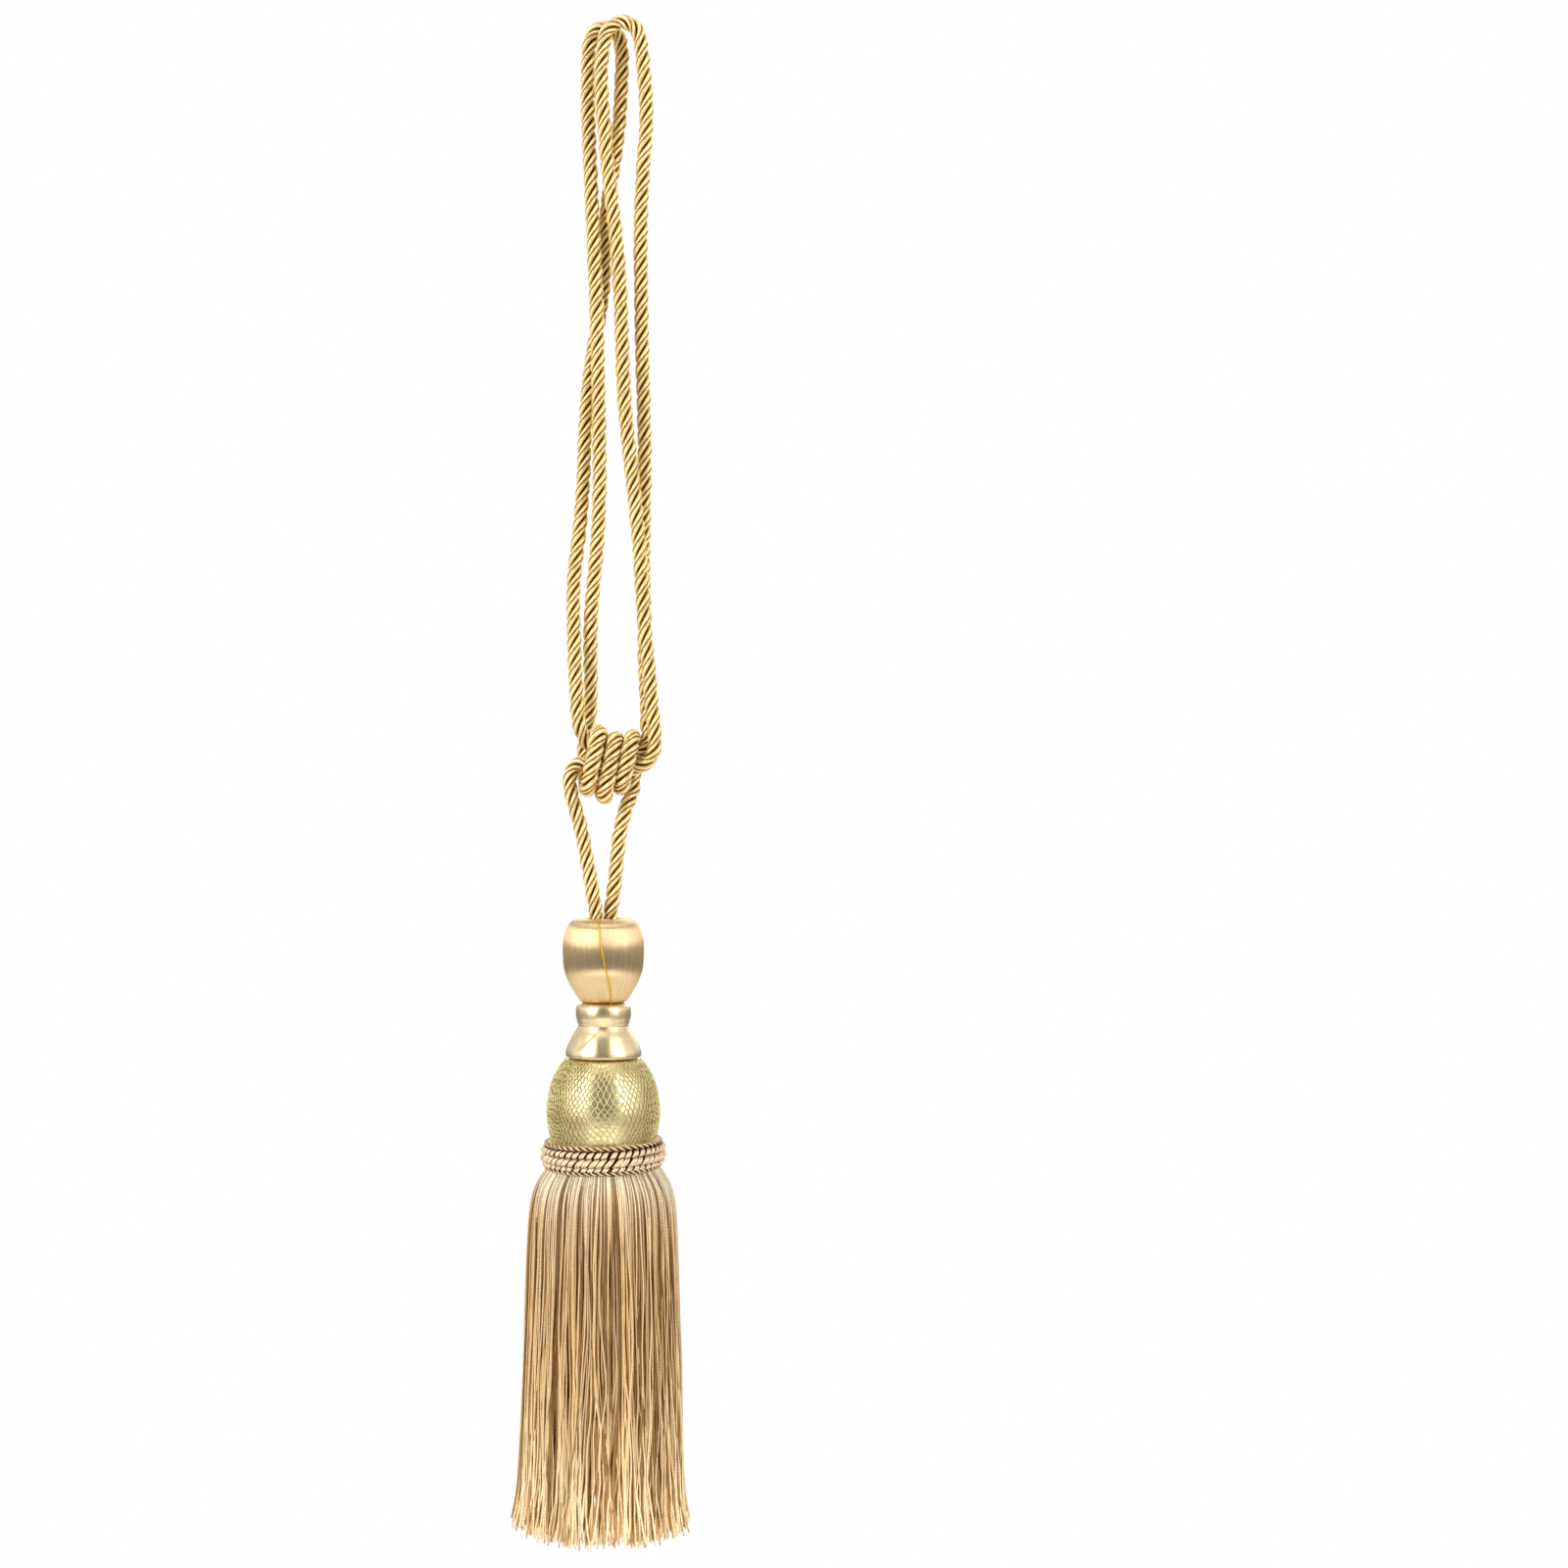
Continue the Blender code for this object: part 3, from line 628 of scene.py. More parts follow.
# Painted shade: the bead darkens between its threads and at its foot, against the collar.
foot_painted_shade = FOOT_PAINTED_SHADE[0] * np.exp((bead_below[:, None] - BEAD_HEIGHT) / FOOT_PAINTED_SHADE[1])
bead = finish_mesh(
    "thread_wound_bead", bead_points, tube_faces(1, bead_rows, bead_sides),
    thread_satin("bead_satin", (1.00, 0.78, 0.46), (0.66, 0.43, 0.18), BEAD_THREADS * 0.9,
                 metallic=0.88, roughness=0.38, relief=0.00005, stretch=0.95),
    uv=tube_uv(bead_along * CM_A_MM, bead_sides),
    tones={"painted_shade": 0.5 * (1 - thread_round)[None, :] + foot_painted_shade[::-1]})
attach(bead, "root")
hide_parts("bead")

GOLD_THREAD_RADIUS = 0.40
GOLD_THREAD_SEAT = 0.30            # its middle lies this far out from the bead
GOLD_THREAD_SIDES = 8
GOLD_THREAD_SPACING = 0.5
GOLD_THREAD_FROM, GOLD_THREAD_TO = math.radians(-98.0), math.radians(-71.0)
gold_rows = slice(2, bead_rows - 1)
gold_share = np.clip(bead_below[gold_rows] / BEAD_HEIGHT, 0.0, 1.0)
gold_turn = GOLD_THREAD_FROM + (GOLD_THREAD_TO - GOLD_THREAD_FROM) * (
    0.45 * gold_share + 0.55 * gold_share**2.4)
gold_out = bead_radii[gold_rows] + GOLD_THREAD_SEAT
gold_line = smooth_curve(np.stack((
    AXIS_X + gold_out * np.cos(gold_turn), gold_out * np.sin(gold_turn),
    BEAD_TOP_Z - bead_below[gold_rows]), axis=1), GOLD_THREAD_SPACING)
gold_angles = np.linspace(0.0, 2 * np.pi, GOLD_THREAD_SIDES, endpoint=False)
gold_along = np.arange(len(gold_line))[None, :] * GOLD_THREAD_SPACING
gold_points = around(
    gold_line, *carried_frames(gold_line), np.tile(gold_angles, (len(gold_line), 1)),
    np.full((len(gold_line), GOLD_THREAD_SIDES), GOLD_THREAD_RADIUS))
gold_thread = finish_mesh(
    "gold_thread", gold_points,
    tube_faces(1, len(gold_line), GOLD_THREAD_SIDES),
    thread_satin("gold_lurex", (0.85, 0.55, 0.06), (0.35, 0.18, 0.01), 9.0,
                 metallic=0.8, roughness=0.30, relief=0.00008),
    uv=tube_uv(gold_along * CM_A_MM, GOLD_THREAD_SIDES),
    tones={"painted_shade": 0.0})
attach(gold_thread, "root")

# --- Collar -----------------------------------------------------------------------------------
# A turned collar covered in champagne foil cloth. The cloth is drawn tight into the groove under
# the drum, its own edge overlaps on the left of the flare, and it turns under at the rim.

COLLAR_TOP_Z = -415.9
COLLAR = (
    # below the top, radius
    (0.1, 6.0), (0.0, 9.6), (0.35, 10.6), (1.3, 11.4), (3.4, 11.85), (6.4, 11.65), (8.2, 11.15),
    (8.9, 10.95), (9.35, 10.55), (9.8, 10.75), (10.6, 11.15), (13.2, 12.75), (16.6, 14.55),
    (19.6, 15.85), (21.6, 16.25), (22.6, 16.1), (22.95, 15.4), (22.8, 13.0),
)
COLLAR_ROW_SPACING = 0.55
COLLAR_SIDES = 144
FLARE_FROM, FLARE_EASE = 10.6, 6.0
FOLD_RISE, FOLD_SOFTNESS, FOLD_FADE = 0.28, 0.22, 9.0
FOLD_TOP, FOLD_FOOT = (10.6, math.radians(-97.0)), (20.5, math.radians(-138.0))
CLOTH_GRAIN, CLOTH_CLOUDS = 2200.0, 90.0      # the noises to a metre
CLOTH_STEPS = (0.36, 0.62)         # where on the ramp the deep and the pale colour stand
CLOTH_RELIEF = 0.00008
CLOTH_SHEEN_TINT = (1.0, 0.88, 0.66, 1.0)


def foil_cloth(name, pale, deep, roughness, metallic, sheen):
    """Metallic cloth: a fine crinkled grain in colour and relief, over soft clouds of wear."""
    material, tree, shader = new_material(name)
    place = add_node(tree, "TexCoord").outputs["Object"]
    grain = add_node(tree, "TexNoise", {
        "Vector": place, "Scale": CLOTH_GRAIN, "Detail": 3.0, "Roughness": 0.65}).outputs["Fac"]
    cloud = add_node(tree, "TexNoise", {"Vector": place, "Scale": CLOTH_CLOUDS, "Detail": 2.0})
    share = arithmetic(tree, "MULTIPLY_ADD", cloud.outputs["Fac"], 0.25,
                       arithmetic(tree, "MULTIPLY", grain, 0.75))
    bump = add_node(tree, "Bump", {"Height": grain, "Strength": 0.8, "Distance": CLOTH_RELIEF})
    feed(tree, shader, {
        "Base Color": colour_steps(tree, share, tuple(zip(CLOTH_STEPS, (deep, pale)))),
        "Roughness": arithmetic(tree, "MULTIPLY_ADD", grain, 0.16, roughness - 0.08),
        "Normal": bump.outputs[0], "Metallic": metallic, "Sheen Weight": sheen,
        "Sheen Roughness": 0.35, "Sheen Tint": CLOTH_SHEEN_TINT})
    return material


collar_radii, collar_below = rounded_profile(COLLAR, COLLAR_ROW_SPACING)
collar_turns = np.linspace(-np.pi, np.pi, COLLAR_SIDES, endpoint=False)

# The overlapping cloth stands out by a soft step at its edge, which runs down the flare at a
# slant, and fades away past it.
fold_share = (collar_below[:, None] - FOLD_TOP[0]) / (FOLD_FOOT[0] - FOLD_TOP[0])
fold_turn = FOLD_TOP[1] + (FOLD_FOOT[1] - FOLD_TOP[1]) * np.clip(fold_share, 0.0, 1.2)
past_fold = (collar_turns[None, :] - fold_turn) * collar_radii[:, None]
fold_lip = 1.0 / (1.0 + np.exp(-past_fold / FOLD_SOFTNESS))
fold_lip = fold_lip * np.exp(-np.maximum(past_fold, 0.0) / FOLD_FADE)
fold_lip = fold_lip * np.clip(fold_share * 4.0, 0.0, 1.0)
in_flare = np.clip((collar_below - FLARE_FROM) / FLARE_EASE, 0.0, 1.0)[:, None]
cloth_wave = 0.07 * np.sin(7 * collar_turns + 1.0) + 0.05 * np.sin(17 * collar_turns)
collar_skin = collar_radii[:, None] + FOLD_RISE * fold_lip + cloth_wave * (0.4 + 0.6 * in_flare)
collar_points = turned_points(collar_skin, COLLAR_TOP_Z - collar_below, collar_turns)
collar = finish_mesh(
    "foil_collar", collar_points,
    tube_faces(1, len(collar_radii), COLLAR_SIDES),
    foil_cloth("champagne_foil", (0.94, 0.76, 0.46), (0.74, 0.55, 0.29),
               roughness=0.32, metallic=0.92, sheen=0.60))
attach(collar, "root")
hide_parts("collar")

# --- Head -------------------------------------------------------------------------------------
# An egg-shaped mould covered in gold foil cloth, under a stretched net of pale gold thread.
# The net's threads run down in pairs that meet and part, so its cells are long and pointed.

HEAD_TOP_Z = -439.2
HEAD = (
    # below the top, radius
    (0.1, 9.0), (0.0, 14.2), (0.5, 15.4), (2.6, 17.5), (6.0, 19.7), (9.4, 21.3), (12.8, 22.4),
    (16.8, 23.2), (21.0, 23.7), (26.4, 23.6), (30.4, 23.0), (34.0, 22.5), (38.0, 21.4),
    (38.4, 20.4), (38.4, 12.0),
)
HEAD_ROW_SPACING = 0.8
HEAD_SIDES = 96
PLEATS, PLEAT_DEPTH = 13, 0.10

head_radii, head_below = rounded_profile(HEAD, HEAD_ROW_SPACING)
head_turns = np.linspace(0.0, 2 * np.pi, HEAD_SIDES, endpoint=False)
head_pleats = PLEAT_DEPTH * np.sin(PLEATS * head_turns + 0.6 * np.sin(2 * head_turns))
head_points = turned_points(
    head_radii[:, None] + head_pleats[None, :], HEAD_TOP_Z - head_below, head_turns)
head = finish_mesh(
    "foil_head", head_points, tube_faces(1, len(head_radii), HEAD_SIDES),
    foil_cloth("head_foil", (0.98, 0.86, 0.54), (0.60, 0.48, 0.23),
               roughness=0.30, metallic=0.90, sheen=0.0))
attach(head, "root")
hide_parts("head")

NET_THREADS = 138
NET_SIDES = 5
NET_RADIUS = 0.22
NET_TOP, NET_FOOT, NET_ROWS = 0.6, 37.2, 84
NET_SEAT, NET_OVER = 0.26, 0.08    # the threads' place off the cloth; every second lies over
NET_CELL_HEIGHT = 4.0
NET_SWING, NET_POINT = 0.47, 0.8   # each thread swings almost to its neighbour
NET_WOBBLE = 0.26
# Waves that pull the meetings out of line: turn to a millimetre, turn to a thread, start.
NET_UNEVEN, NET_WAVES = 1.2, ((0.35, 0.4, 0.0), (0.17, -0.23, 1.0))
NET_OPENINGS, NET_STRETCH = 3, 0.06
NET_DRIFT = 0.05
NET_V = 0.4                        # to a millimetre


def unit(vectors):
    """The vectors, each scaled to length one."""
    return vectors / np.linalg.norm(vectors, axis=-1, keepdims=True)


def outward_frames(lines, outward, closed=False):
    """Normal and binormal for many lines at once, the normal turned as far outwards as it can."""
    if closed:
        along = np.roll(lines, -1, axis=1) - np.roll(lines, 1, axis=1)
    else:
        along = np.gradient(lines, axis=1)
    tangents = unit(along)
    normals = unit(outward - tangents * np.sum(outward * tangents, axis=-1, keepdims=True))
    return normals, np.cross(tangents, normals)


def round_tubes(lines, outward, radii, sides, closed=False):
    """Round tubes along many lines at once: their points, their faces and the points' angles."""
    angles = np.linspace(0.0, 2 * np.pi, sides, endpoint=False)
    points = around(
        lines, *outward_frames(lines, outward, closed),
        np.broadcast_to(angles, (*radii.shape, sides)),
        np.repeat(radii[..., None], sides, axis=-1))
    return points, tube_faces(*radii.shape, sides, closed), angles


def outward_at(turns):
    """The level direction away from the tassel's axis at these turns."""
    return np.stack((np.cos(turns), np.sin(turns), np.zeros_like(turns)), axis=-1)


net_below = np.linspace(NET_TOP, NET_FOOT, NET_ROWS)
net_hull = np.interp(net_below, head_below[2:-2], head_radii[2:-2])
net_number = np.arange(NET_THREADS)[:, None]
net_wobble = rng.uniform(-NET_WOBBLE, NET_WOBBLE, (NET_THREADS, 1))
net_phase = np.pi * (net_number % 2) + 2 * np.pi * net_below[None, :] / NET_CELL_HEIGHT
net_uneven = NET_UNEVEN * sum(
    np.sin(net_below[None, :] * by_below + net_number * by_thread + start)
    for by_below, by_thread, start in NET_WAVES)
net_swing = np.sin(net_phase + net_uneven)
net_swing = NET_SWING * np.sign(net_swing) * np.abs(net_swing) ** NET_POINT
net_turns = 2 * np.pi * (net_number + net_swing + net_wobble) / NET_THREADS
net_turns = net_turns + NET_STRETCH * np.sin(NET_OPENINGS * (net_turns + np.pi / 2))
net_turns = net_turns + NET_DRIFT * np.sin(net_below[None, :] * 0.11 + 2.0 * net_turns)
net_out = net_hull[None, :] + NET_SEAT + NET_OVER * (net_number % 2)
net_outward = outward_at(net_turns)
net_lines = net_outward * net_out[..., None]
net_lines[..., 0] += AXIS_X
net_lines[..., 2] = (HEAD_TOP_Z - net_below)[None, :]
net_points, net_faces, net_angles = round_tubes(
    net_lines, net_outward, np.full((NET_THREADS, NET_ROWS), NET_RADIUS), NET_SIDES)
# Each net thread is painted darker on its side towards the cloth, as shade.
net = finish_mesh(
    "head_net_threads", net_points, net_faces,
    thread_satin("net_gold", (1.00, 0.87, 0.42), (0.36, 0.26, 0.05), 6.0,
                 metallic=0.30, roughness=0.30, relief=0.00005),
    uv=tube_uv(np.tile(net_below * NET_V, (NET_THREADS, 1)), NET_SIDES),
    tones={"painted_shade": np.tile((1 - np.cos(net_angles)) * 0.45, NET_THREADS * NET_ROWS)})
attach(net, "root")

# --- Braid ring -------------------------------------------------------------------------------
# A gimp band sewn round the foot of the head: three rows of slanted two-ply yarn loops between
# two thin twisted cords. Its ends meet at the front, and its right side sits a little high.

RING_TOP_Z = -473.9
RING_TILT = math.radians(1.6)
RING_JOIN = math.radians(-80.5)
RING_JOIN_GAP = math.radians(1.2)
LOOP_COUNT = 50
LOOP_RINGS = 11
LOOP_SIDES = 7
LOOP_V = 0.3                       # to half a loop
LOOP_COLUMNS = ("below", "core_radius", "reach", "half_rise", "lean", "yarn", "shift")
LOOP_ROWS = (
    (3.75, 24.75, 1.35, 1.10, 0.050, 0.58, 0.0),
    (7.00, 24.85, 1.50, 1.55, 0.088, 0.60, 0.5),
    (9.70, 24.55, 1.15, 0.75, 0.052, 0.54, 0.1),
)
LOOP_BULGE, LOOP_CLIMB = 1.75, 1.45           # half the turn of its bow, outwards and upwards
LOOP_THINNER = 0.30                # at its ends, where it goes into the band
UNEVEN_PLACE, UNEVEN_REACH = 0.10, 0.12
PLY_SPREAD = 0.80                  # each loop's two plies lie this share of their radius off it
PLY_TWIST = 1.3
TRIM_COLUMNS = ("name", "below", "radius", "offset", "yarn", "turns")
TRIMS = (
    ("gimp_top_cord", 1.10, 24.50, 0.46, 0.52, 25),
    ("gimp_bottom_cord", 11.40, 24.40, 0.44, 0.48, 27),
)
TRIM_STEPS_PER_TURN = 10
TRIM_SIDES = 7
TRIM_V = 0.05                      # to a step


def tilted(points):
    """The band's points, raised on its right in proportion to their distance from the axis."""
    raised = points.copy()
    raised[..., 2] += (points[..., 0] - AXIS_X) * math.tan(RING_TILT)
    return raised


def loop_row(below, core_radius, reach, half_rise, lean, yarn, shift):
    """One row of loops: their middle lines, the way each point faces, and their thickness.

    With b from -1 to 1 along a loop, it stands reach·cos(bulge·b) out from the core, climbs
    half_rise·sin(climb·b) to each side and leans lean·b round the ring.
    """
    middle = loop_from + loop_step * (np.arange(LOOP_COUNT)[:, None] + shift)
    middle = middle + rng.uniform(-UNEVEN_PLACE, UNEVEN_PLACE, (LOOP_COUNT, 1)) * loop_step
    turn = middle - lean * loop_bend[None, :]
    out = core_radius + reach * np.cos(loop_bend * LOOP_BULGE)[None, :]
    out = out + rng.uniform(-UNEVEN_REACH, UNEVEN_REACH, (LOOP_COUNT, 1))
    z = RING_TOP_Z - below - half_rise * np.sin(loop_bend * LOOP_CLIMB) + 0 * turn
    line = np.stack((AXIS_X + out * np.cos(turn), out * np.sin(turn), z), axis=-1)
    facing = np.stack((np.cos(turn), np.sin(turn), -0.5 * loop_bend + 0 * turn), axis=-1)
    thickness = yarn * (1.0 - LOOP_THINNER * np.abs(loop_bend) ** 3)
    return line, facing, np.tile(thickness, (LOOP_COUNT, 1))


gimp = silky_yarn("gimp_yarn", (1.00, 0.87, 0.62), (0.60, 0.37, 0.15), (0.06, 0.020, 0.004),
                  fibres=2.0, plies=3.0, turns=3.0, painted_seam_shades=0.14, tone_reach=0.18, gloss=0.28)
loop_bend = np.linspace(-1.0, 1.0, LOOP_RINGS)
loop_from = RING_JOIN + RING_JOIN_GAP / 2
loop_step = (2 * np.pi - RING_JOIN_GAP) / LOOP_COUNT
loop_rows = [loop_row(**dict(zip(LOOP_COLUMNS, row))) for row in LOOP_ROWS]
loop_lines, loop_outs, loop_yarns = (np.concatenate(parts) for parts in zip(*loop_rows))
loop_normals, loop_binormals = outward_frames(loop_lines, loop_outs)
ply_turn = (0.5 * np.pi - PLY_TWIST * loop_bend)[None, :, None]
ply_side = np.cos(ply_turn) * loop_normals + np.sin(ply_turn) * loop_binormals
ply_side = PLY_SPREAD * loop_yarns[..., None] * ply_side
ply_lines = np.concatenate((loop_lines + ply_side, loop_lines - ply_side))
ply_points, ply_faces, ply_angles = round_tubes(
    ply_lines, np.tile(loop_outs, (2, 1, 1)), np.tile(loop_yarns, (2, 1)), LOOP_SIDES)
# Painted shade: each ply darkens on its side towards the band, and towards the loop's ends where it
# goes into the band.
ply_painted_shade = np.broadcast_to(
    0.45 * (1 - np.cos(ply_angles))[None, None, :] + 0.6 * np.abs(loop_bend[None, :, None]) ** 4,
    (len(ply_lines), LOOP_RINGS, LOOP_SIDES))
ply_tone = np.repeat(rng.uniform(0, 1, len(ply_lines)), LOOP_RINGS * LOOP_SIDES)
ring_loops = finish_mesh(
    "gimp_loops", tilted(ply_points), ply_faces, gimp,
    uv=tube_uv(np.tile((loop_bend + 1) * LOOP_V, (len(ply_lines), 1)), LOOP_SIDES),
    tones={"painted_shade": ply_painted_shade, "tone": ply_tone})
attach(ring_loops, "root")
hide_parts("braid_ring")

for row in TRIMS:
    trim = dict(zip(TRIM_COLUMNS, row))
    steps = trim["turns"] * TRIM_STEPS_PER_TURN
    turn = np.linspace(0.0, 2 * np.pi, steps, endpoint=False)[None, :] + RING_JOIN
    twist = -trim["turns"] * turn + np.array((0.0, np.pi))[:, None]
    out = trim["radius"] + trim["offset"] * np.cos(twist)
    trim_lines = np.stack((
        AXIS_X + out * np.cos(turn), out * np.sin(turn),
        RING_TOP_Z - trim["below"] + trim["offset"] * np.sin(twist)), axis=-1)
    facing = np.stack((
        np.cos(twist) * np.cos(turn), np.cos(twist) * np.sin(turn), np.sin(twist)), axis=-1)
    trim_points, trim_faces, trim_angles = round_tubes(
        trim_lines, facing, np.full((2, steps), trim["yarn"]), TRIM_SIDES, closed=True)
    trim_along = np.tile(np.arange(steps + 1) * TRIM_V, (2, 1))
    # Each cord's two plies are painted darker where they face each other, as shade.
    cord = finish_mesh(
        trim["name"], tilted(trim_points), trim_faces, gimp,
        uv=tube_uv(trim_along, TRIM_SIDES, closed=True),
        tones={"painted_shade": np.tile(0.60 * (1 - np.cos(trim_angles)), 2 * steps), "tone": 0.5})
    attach(cord, "root")

BAND_ROWS = (
    # below the ring's top, radius of the band that the loops and cords are worked on
    (0.4, 22.6), (0.4, 24.0), (3.0, 24.4), (6.0, 24.8), (9.0, 24.6), (11.7, 24.0), (11.7, 22.6),
)
BAND_ROW_SPACING = 1.0
BAND_RIM = 1.2                     # this much of its top shows over the upper cord, and gets less painted shade
band_radii, band_below = rounded_profile(BAND_ROWS, BAND_ROW_SPACING)
band_points = turned_points(band_radii[:, None], RING_TOP_Z - band_below, head_turns)
band_along = np.arange(len(band_radii))[None, :] * BAND_ROW_SPACING
# The backing is painted dark as shade under the loops and cords, less so along its rim.
band_painted_shade = np.where(band_below < BAND_RIM, 0.45, 0.9)[::-1]
band = finish_mesh(
    "gimp_backing", tilted(band_points),
    tube_faces(1, len(band_radii), HEAD_SIDES), gimp,
    uv=tube_uv(band_along * CM_A_MM, HEAD_SIDES, 40),
    tones={"painted_shade": np.repeat(band_painted_shade, HEAD_SIDES), "tone": 0.5})
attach(band, "root")

# --- Skirt ------------------------------------------------------------------------------------
# A bullion of cut silky yarns sewn in layers round the mould's foot, under the ring. They round
# out over the ring's edge, hang in loose locks, cross here and there, and splay at the cut.

SKIRT_TOP_Z = -487.0
SKIRT_LENGTH = 150.5
SKIRT_DRIFT_X = -1.0
YARN_ROOT = 4.0                    # each yarn starts this far above the ring's lower edge
YARN_LEVELS = 34
LOCKS = 76
LOCK_GATHER = 0.22                 # share of the way to its lock that a yarn is drawn
LOCK_SWAY = 0.042
YARN_CORE, YARN_THIN, YARN_FULLER, YARN_UNEVEN = 0.17, 0.13, 0.10, (0.70, 1.20)
CUT_ABOVE, CUT_SCATTER = 1.5, 1.7
# Each yarn's waves: size, shortest and longest wave; what they do round the skirt, and outwards.
YARN_WAVES = ((0.25, 24, 36), (0.5, 40, 70), (1.0, 70, 130), (1.4, 120, 240))
WAVE_TURN, WAVE_OUT = 0.048, 0.30
STRAY_SHARE, STRAY_FAR, STRAY_NEAR = 0.25, 0.07, 0.02
FRAY = (0.012, 14, 22)
SPLAY, TIP_SCATTER = 0.055, 0.7
DARKER_SHARE, DARKER_BY, DARKER_TONE = 0.24, 0.40, -0.40
SKIRT_COLUMNS = ("name", "layers", "yarns_a_layer", "sides")
SKIRT_GROUPS = (
    ("skirt_outer_yarns", (0.0, 0.8), 250, 5),
    ("skirt_middle_yarns", (1.7, 2.7), 240, 5),
    ("skirt_inner_yarns", (3.8, 5.0, 6.4), 180, 4),
)


def fading(below, over):
    """One above the ring's edge and at it, then exp(-below / over)."""
    return np.exp(-np.maximum(below, 0.0) / over)


def grown(below, start, over):
    """Nothing down to start, then growing evenly, to one at a further length of over."""
    return np.clip((below - start) / over, 0.0, None)


def eased(below, over):
    """From nothing to one, evenly, over the first length below the ring's edge."""
    return np.clip(below / over, 0.0, 1.0)


def own_wave(below, size, shortest, longest):
    """Each yarn's own wave: height · sin 2π(below / length + start), all three at random."""
    shape = (len(below), 1)
    height = rng.uniform(-size, size, shape)
    length = rng.uniform(shortest, longest, shape)
    return height * np.sin(2 * np.pi * (below / length + rng.uniform(0, 1, shape)))


def skirt_radius(below):
    """The skirt's outline: a shoulder rounds out, then it opens evenly, and flares at the cut."""
    shoulder = 6.6 * (1.0 - fading(below, 6.0))
    flare = 1.8 * grown(below, 128.0, 22.0) ** 2
    return 24.0 + 0.42 * np.minimum(below, 0.0) + shoulder + 0.034 * np.maximum(below, 0) + flare


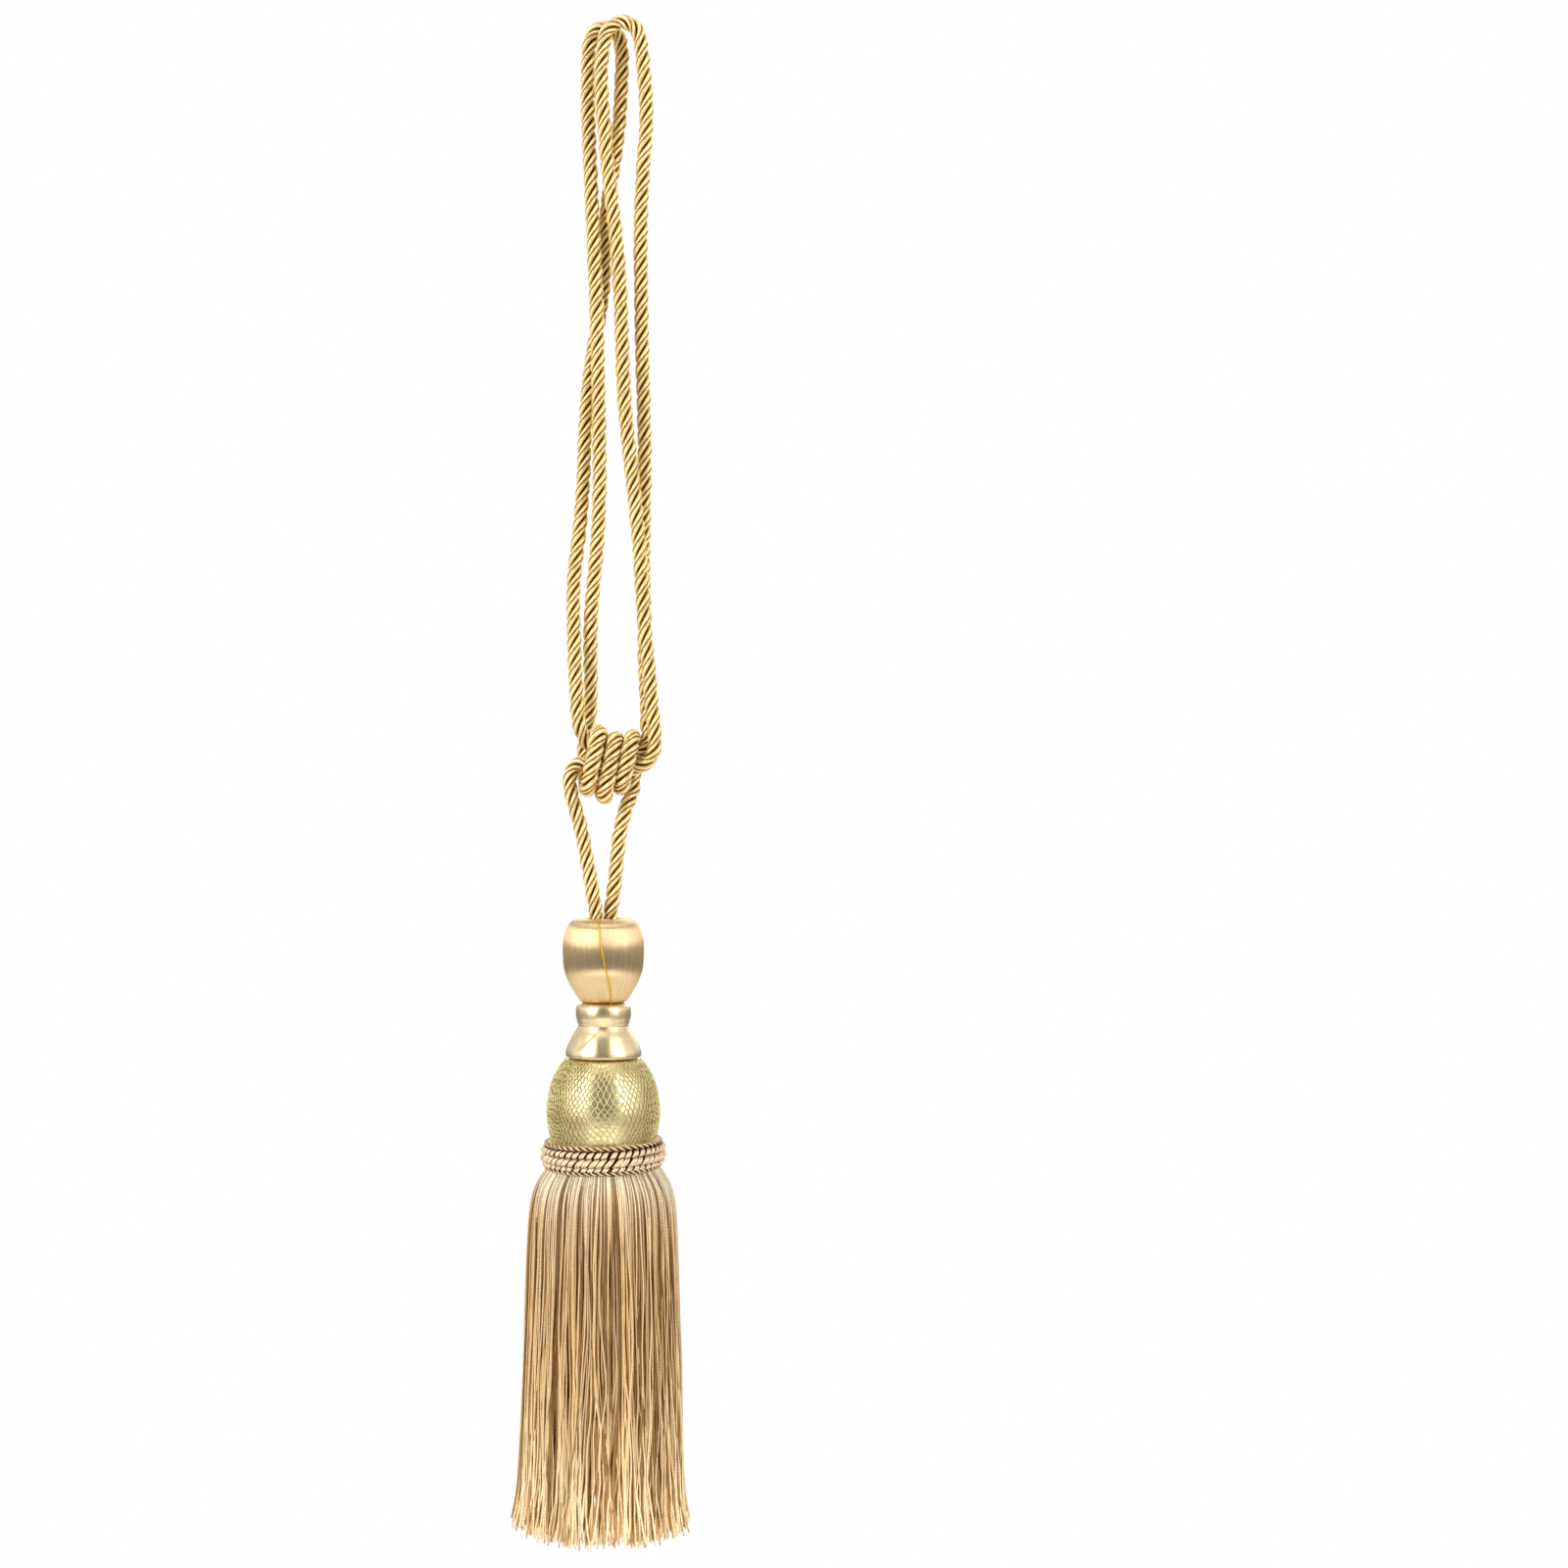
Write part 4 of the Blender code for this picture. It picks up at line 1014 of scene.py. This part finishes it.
lock_turns = (np.arange(LOCKS) + rng.uniform(-0.32, 0.32, LOCKS)) * 2 * np.pi / LOCKS
lock_lift = rng.uniform(-0.9, 0.5, LOCKS)
lock_sway = rng.uniform(-1, 1, (LOCKS, 2))
skirt_silk = silky_yarn(
    "skirt_silk", (1.00, 0.90, 0.66), (0.69, 0.39, 0.12), (0.27, 0.095, 0.016),
    fibres=2.0, plies=2.0, turns=7.0, painted_seam_shades=0.12, tone_reach=0.54, gloss=0.32)
for row in SKIRT_GROUPS:
    group = dict(zip(SKIRT_COLUMNS, row))
    a_layer, sides = group["yarns_a_layer"], group["sides"]
    count = a_layer * len(group["layers"])
    depth = np.repeat(group["layers"], a_layer)[:, None] + rng.uniform(-0.35, 0.35, (count, 1))
    places = np.arange(count) % a_layer + rng.uniform(-0.45, 0.45, count)
    root_turn = (places / a_layer * 2 * np.pi)[:, None]
    lock = np.argmin(np.abs(np.angle(np.exp(1j * (root_turn - lock_turns[None, :])))), axis=1)
    to_lock = np.angle(np.exp(1j * (lock_turns[lock][:, None] - root_turn)))

    # Each yarn falls from its root to its own cut, over 0 to 1 of the skirt's length.
    cut = SKIRT_LENGTH - CUT_ABOVE + rng.normal(0.0, CUT_SCATTER, (count, 1)).clip(-6.0, 3.0)
    share = np.linspace(0.0, 1.0, YARN_LEVELS)[None, :] ** 1.12
    below = -YARN_ROOT + (cut + YARN_ROOT) * share
    fall = eased(below, SKIRT_LENGTH)

    # It turns towards its lock, waves, strays and sways with it, and splays and frays at the cut.
    gather = LOCK_GATHER * eased(below, 30.0) * (1.0 - 0.9 * fall**2)
    waves = sum(own_wave(below, *wave) for wave in YARN_WAVES)
    stray = rng.normal(0.0, 1.0, (count, 1)) * np.where(
        rng.random((count, 1)) < STRAY_SHARE, STRAY_FAR, STRAY_NEAR)
    fray = own_wave(below, *FRAY) * eased(below - 95.0, 55.0)
    sway = LOCK_SWAY * lock_sway[lock, 0][:, None] * np.sin(
        np.pi * (1.9 * fall + lock_sway[lock, 1][:, None]))
    splay = rng.normal(0.0, SPLAY, (count, 1)) * grown(below, 105.0, 45.0) ** 1.6
    turn = root_turn + to_lock * gather + WAVE_TURN * waves * fall**0.8
    turn = turn + stray * fall + sway * fall**0.6 + splay + fray

    # It lies its layer's depth inside the outline, lifted with its lock, and its tip is scattered.
    inward = depth * (0.35 + 0.65 * eased(below, 25.0))
    lift = lock_lift[lock][:, None] * eased(below, 20.0) * (1 - 0.4 * fall)
    tips = rng.normal(0.0, TIP_SCATTER, (count, 1)) * grown(below, 115.0, 35.0) ** 2
    out = skirt_radius(below) - inward + lift + tips + WAVE_OUT * waves * fall
    yarn = YARN_THIN + YARN_FULLER * eased(below, 12.0)
    yarn = yarn * rng.uniform(*YARN_UNEVEN, (count, 1)) + YARN_CORE
    yarn[:, -1] *= 0.8
    lines = np.stack((
        AXIS_X + SKIRT_DRIFT_X * fall**2 + out * np.cos(turn), out * np.sin(turn),
        SKIRT_TOP_Z - below), axis=-1)
    points, faces, yarn_angles = round_tubes(lines, outward_at(turn), yarn, sides)

    # Painted shade falls on deeper yarns, on all below the shoulder and on each yarn's inner side,
    # and the randomly darker yarns take its colour too. The shoulder gets a painted highlight, and
    # the foot is paler and brighter, partly the cut ends' own colour and partly painted light.
    darker = rng.random((count, 1)) < DARKER_SHARE
    painted_shade_share = np.clip((depth - lift) * 0.085, 0.0, 0.6) + DARKER_BY * darker
    painted_shade_share = painted_shade_share + 0.17 * (1.0 - fading(below, 12.0))
    painted_highlight_and_pale_foot = 0.9 * fading(below, 12.0) + 0.8 * fall**3
    sides_painted_shade_share = 0.12 * (1 - np.cos(yarn_angles))
    painted_shade = np.clip(painted_shade_share[..., None] + sides_painted_shade_share[None, None, :], 0.0, 1.0)
    painted_shade = painted_shade * (1.0 - 0.75 * painted_highlight_and_pale_foot[..., None])
    own_tone = np.where(darker, DARKER_TONE, rng.uniform(0, 1, (count, 1)))
    tone = own_tone - 0.47 - 0.12 * fading(below, 9.0) + 0.18 * fall + 0.65 * fall**3
    yarns = finish_mesh(
        group["name"], points, faces, skirt_silk,
        uv=tube_uv(below * CM_A_MM + rng.uniform(0, 5, (count, 1)), sides),
        tones={"painted_shade": painted_shade, "tone": np.repeat(tone, sides, axis=1)})
    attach(yarns, "root")
    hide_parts("skirt")

HEADING = (
    # below the head's foot, radius of the bound heading that the yarns are sewn to
    (0.3, 9.0), (0.3, 21.0), (1.0, 21.9), (5.0, 22.0), (8.4, 21.0), (9.0, 19.0), (9.0, 6.0),
)
HEADING_ROW_SPACING = 1.0
heading_radii, heading_below = rounded_profile(HEADING, HEADING_ROW_SPACING)
heading_points = turned_points(
    heading_radii[:, None], HEAD_TOP_Z - HEAD[-1][0] - heading_below, head_turns)
heading_along = np.arange(len(heading_radii))[None, :] * HEADING_ROW_SPACING
heading = finish_mesh(
    "skirt_heading", heading_points,
    tube_faces(1, len(heading_radii), HEAD_SIDES), skirt_silk,
    uv=tube_uv(heading_along * CM_A_MM, HEAD_SIDES, 60),
    tones={"painted_shade": 0.5, "tone": 0.5})
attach(heading, "root")
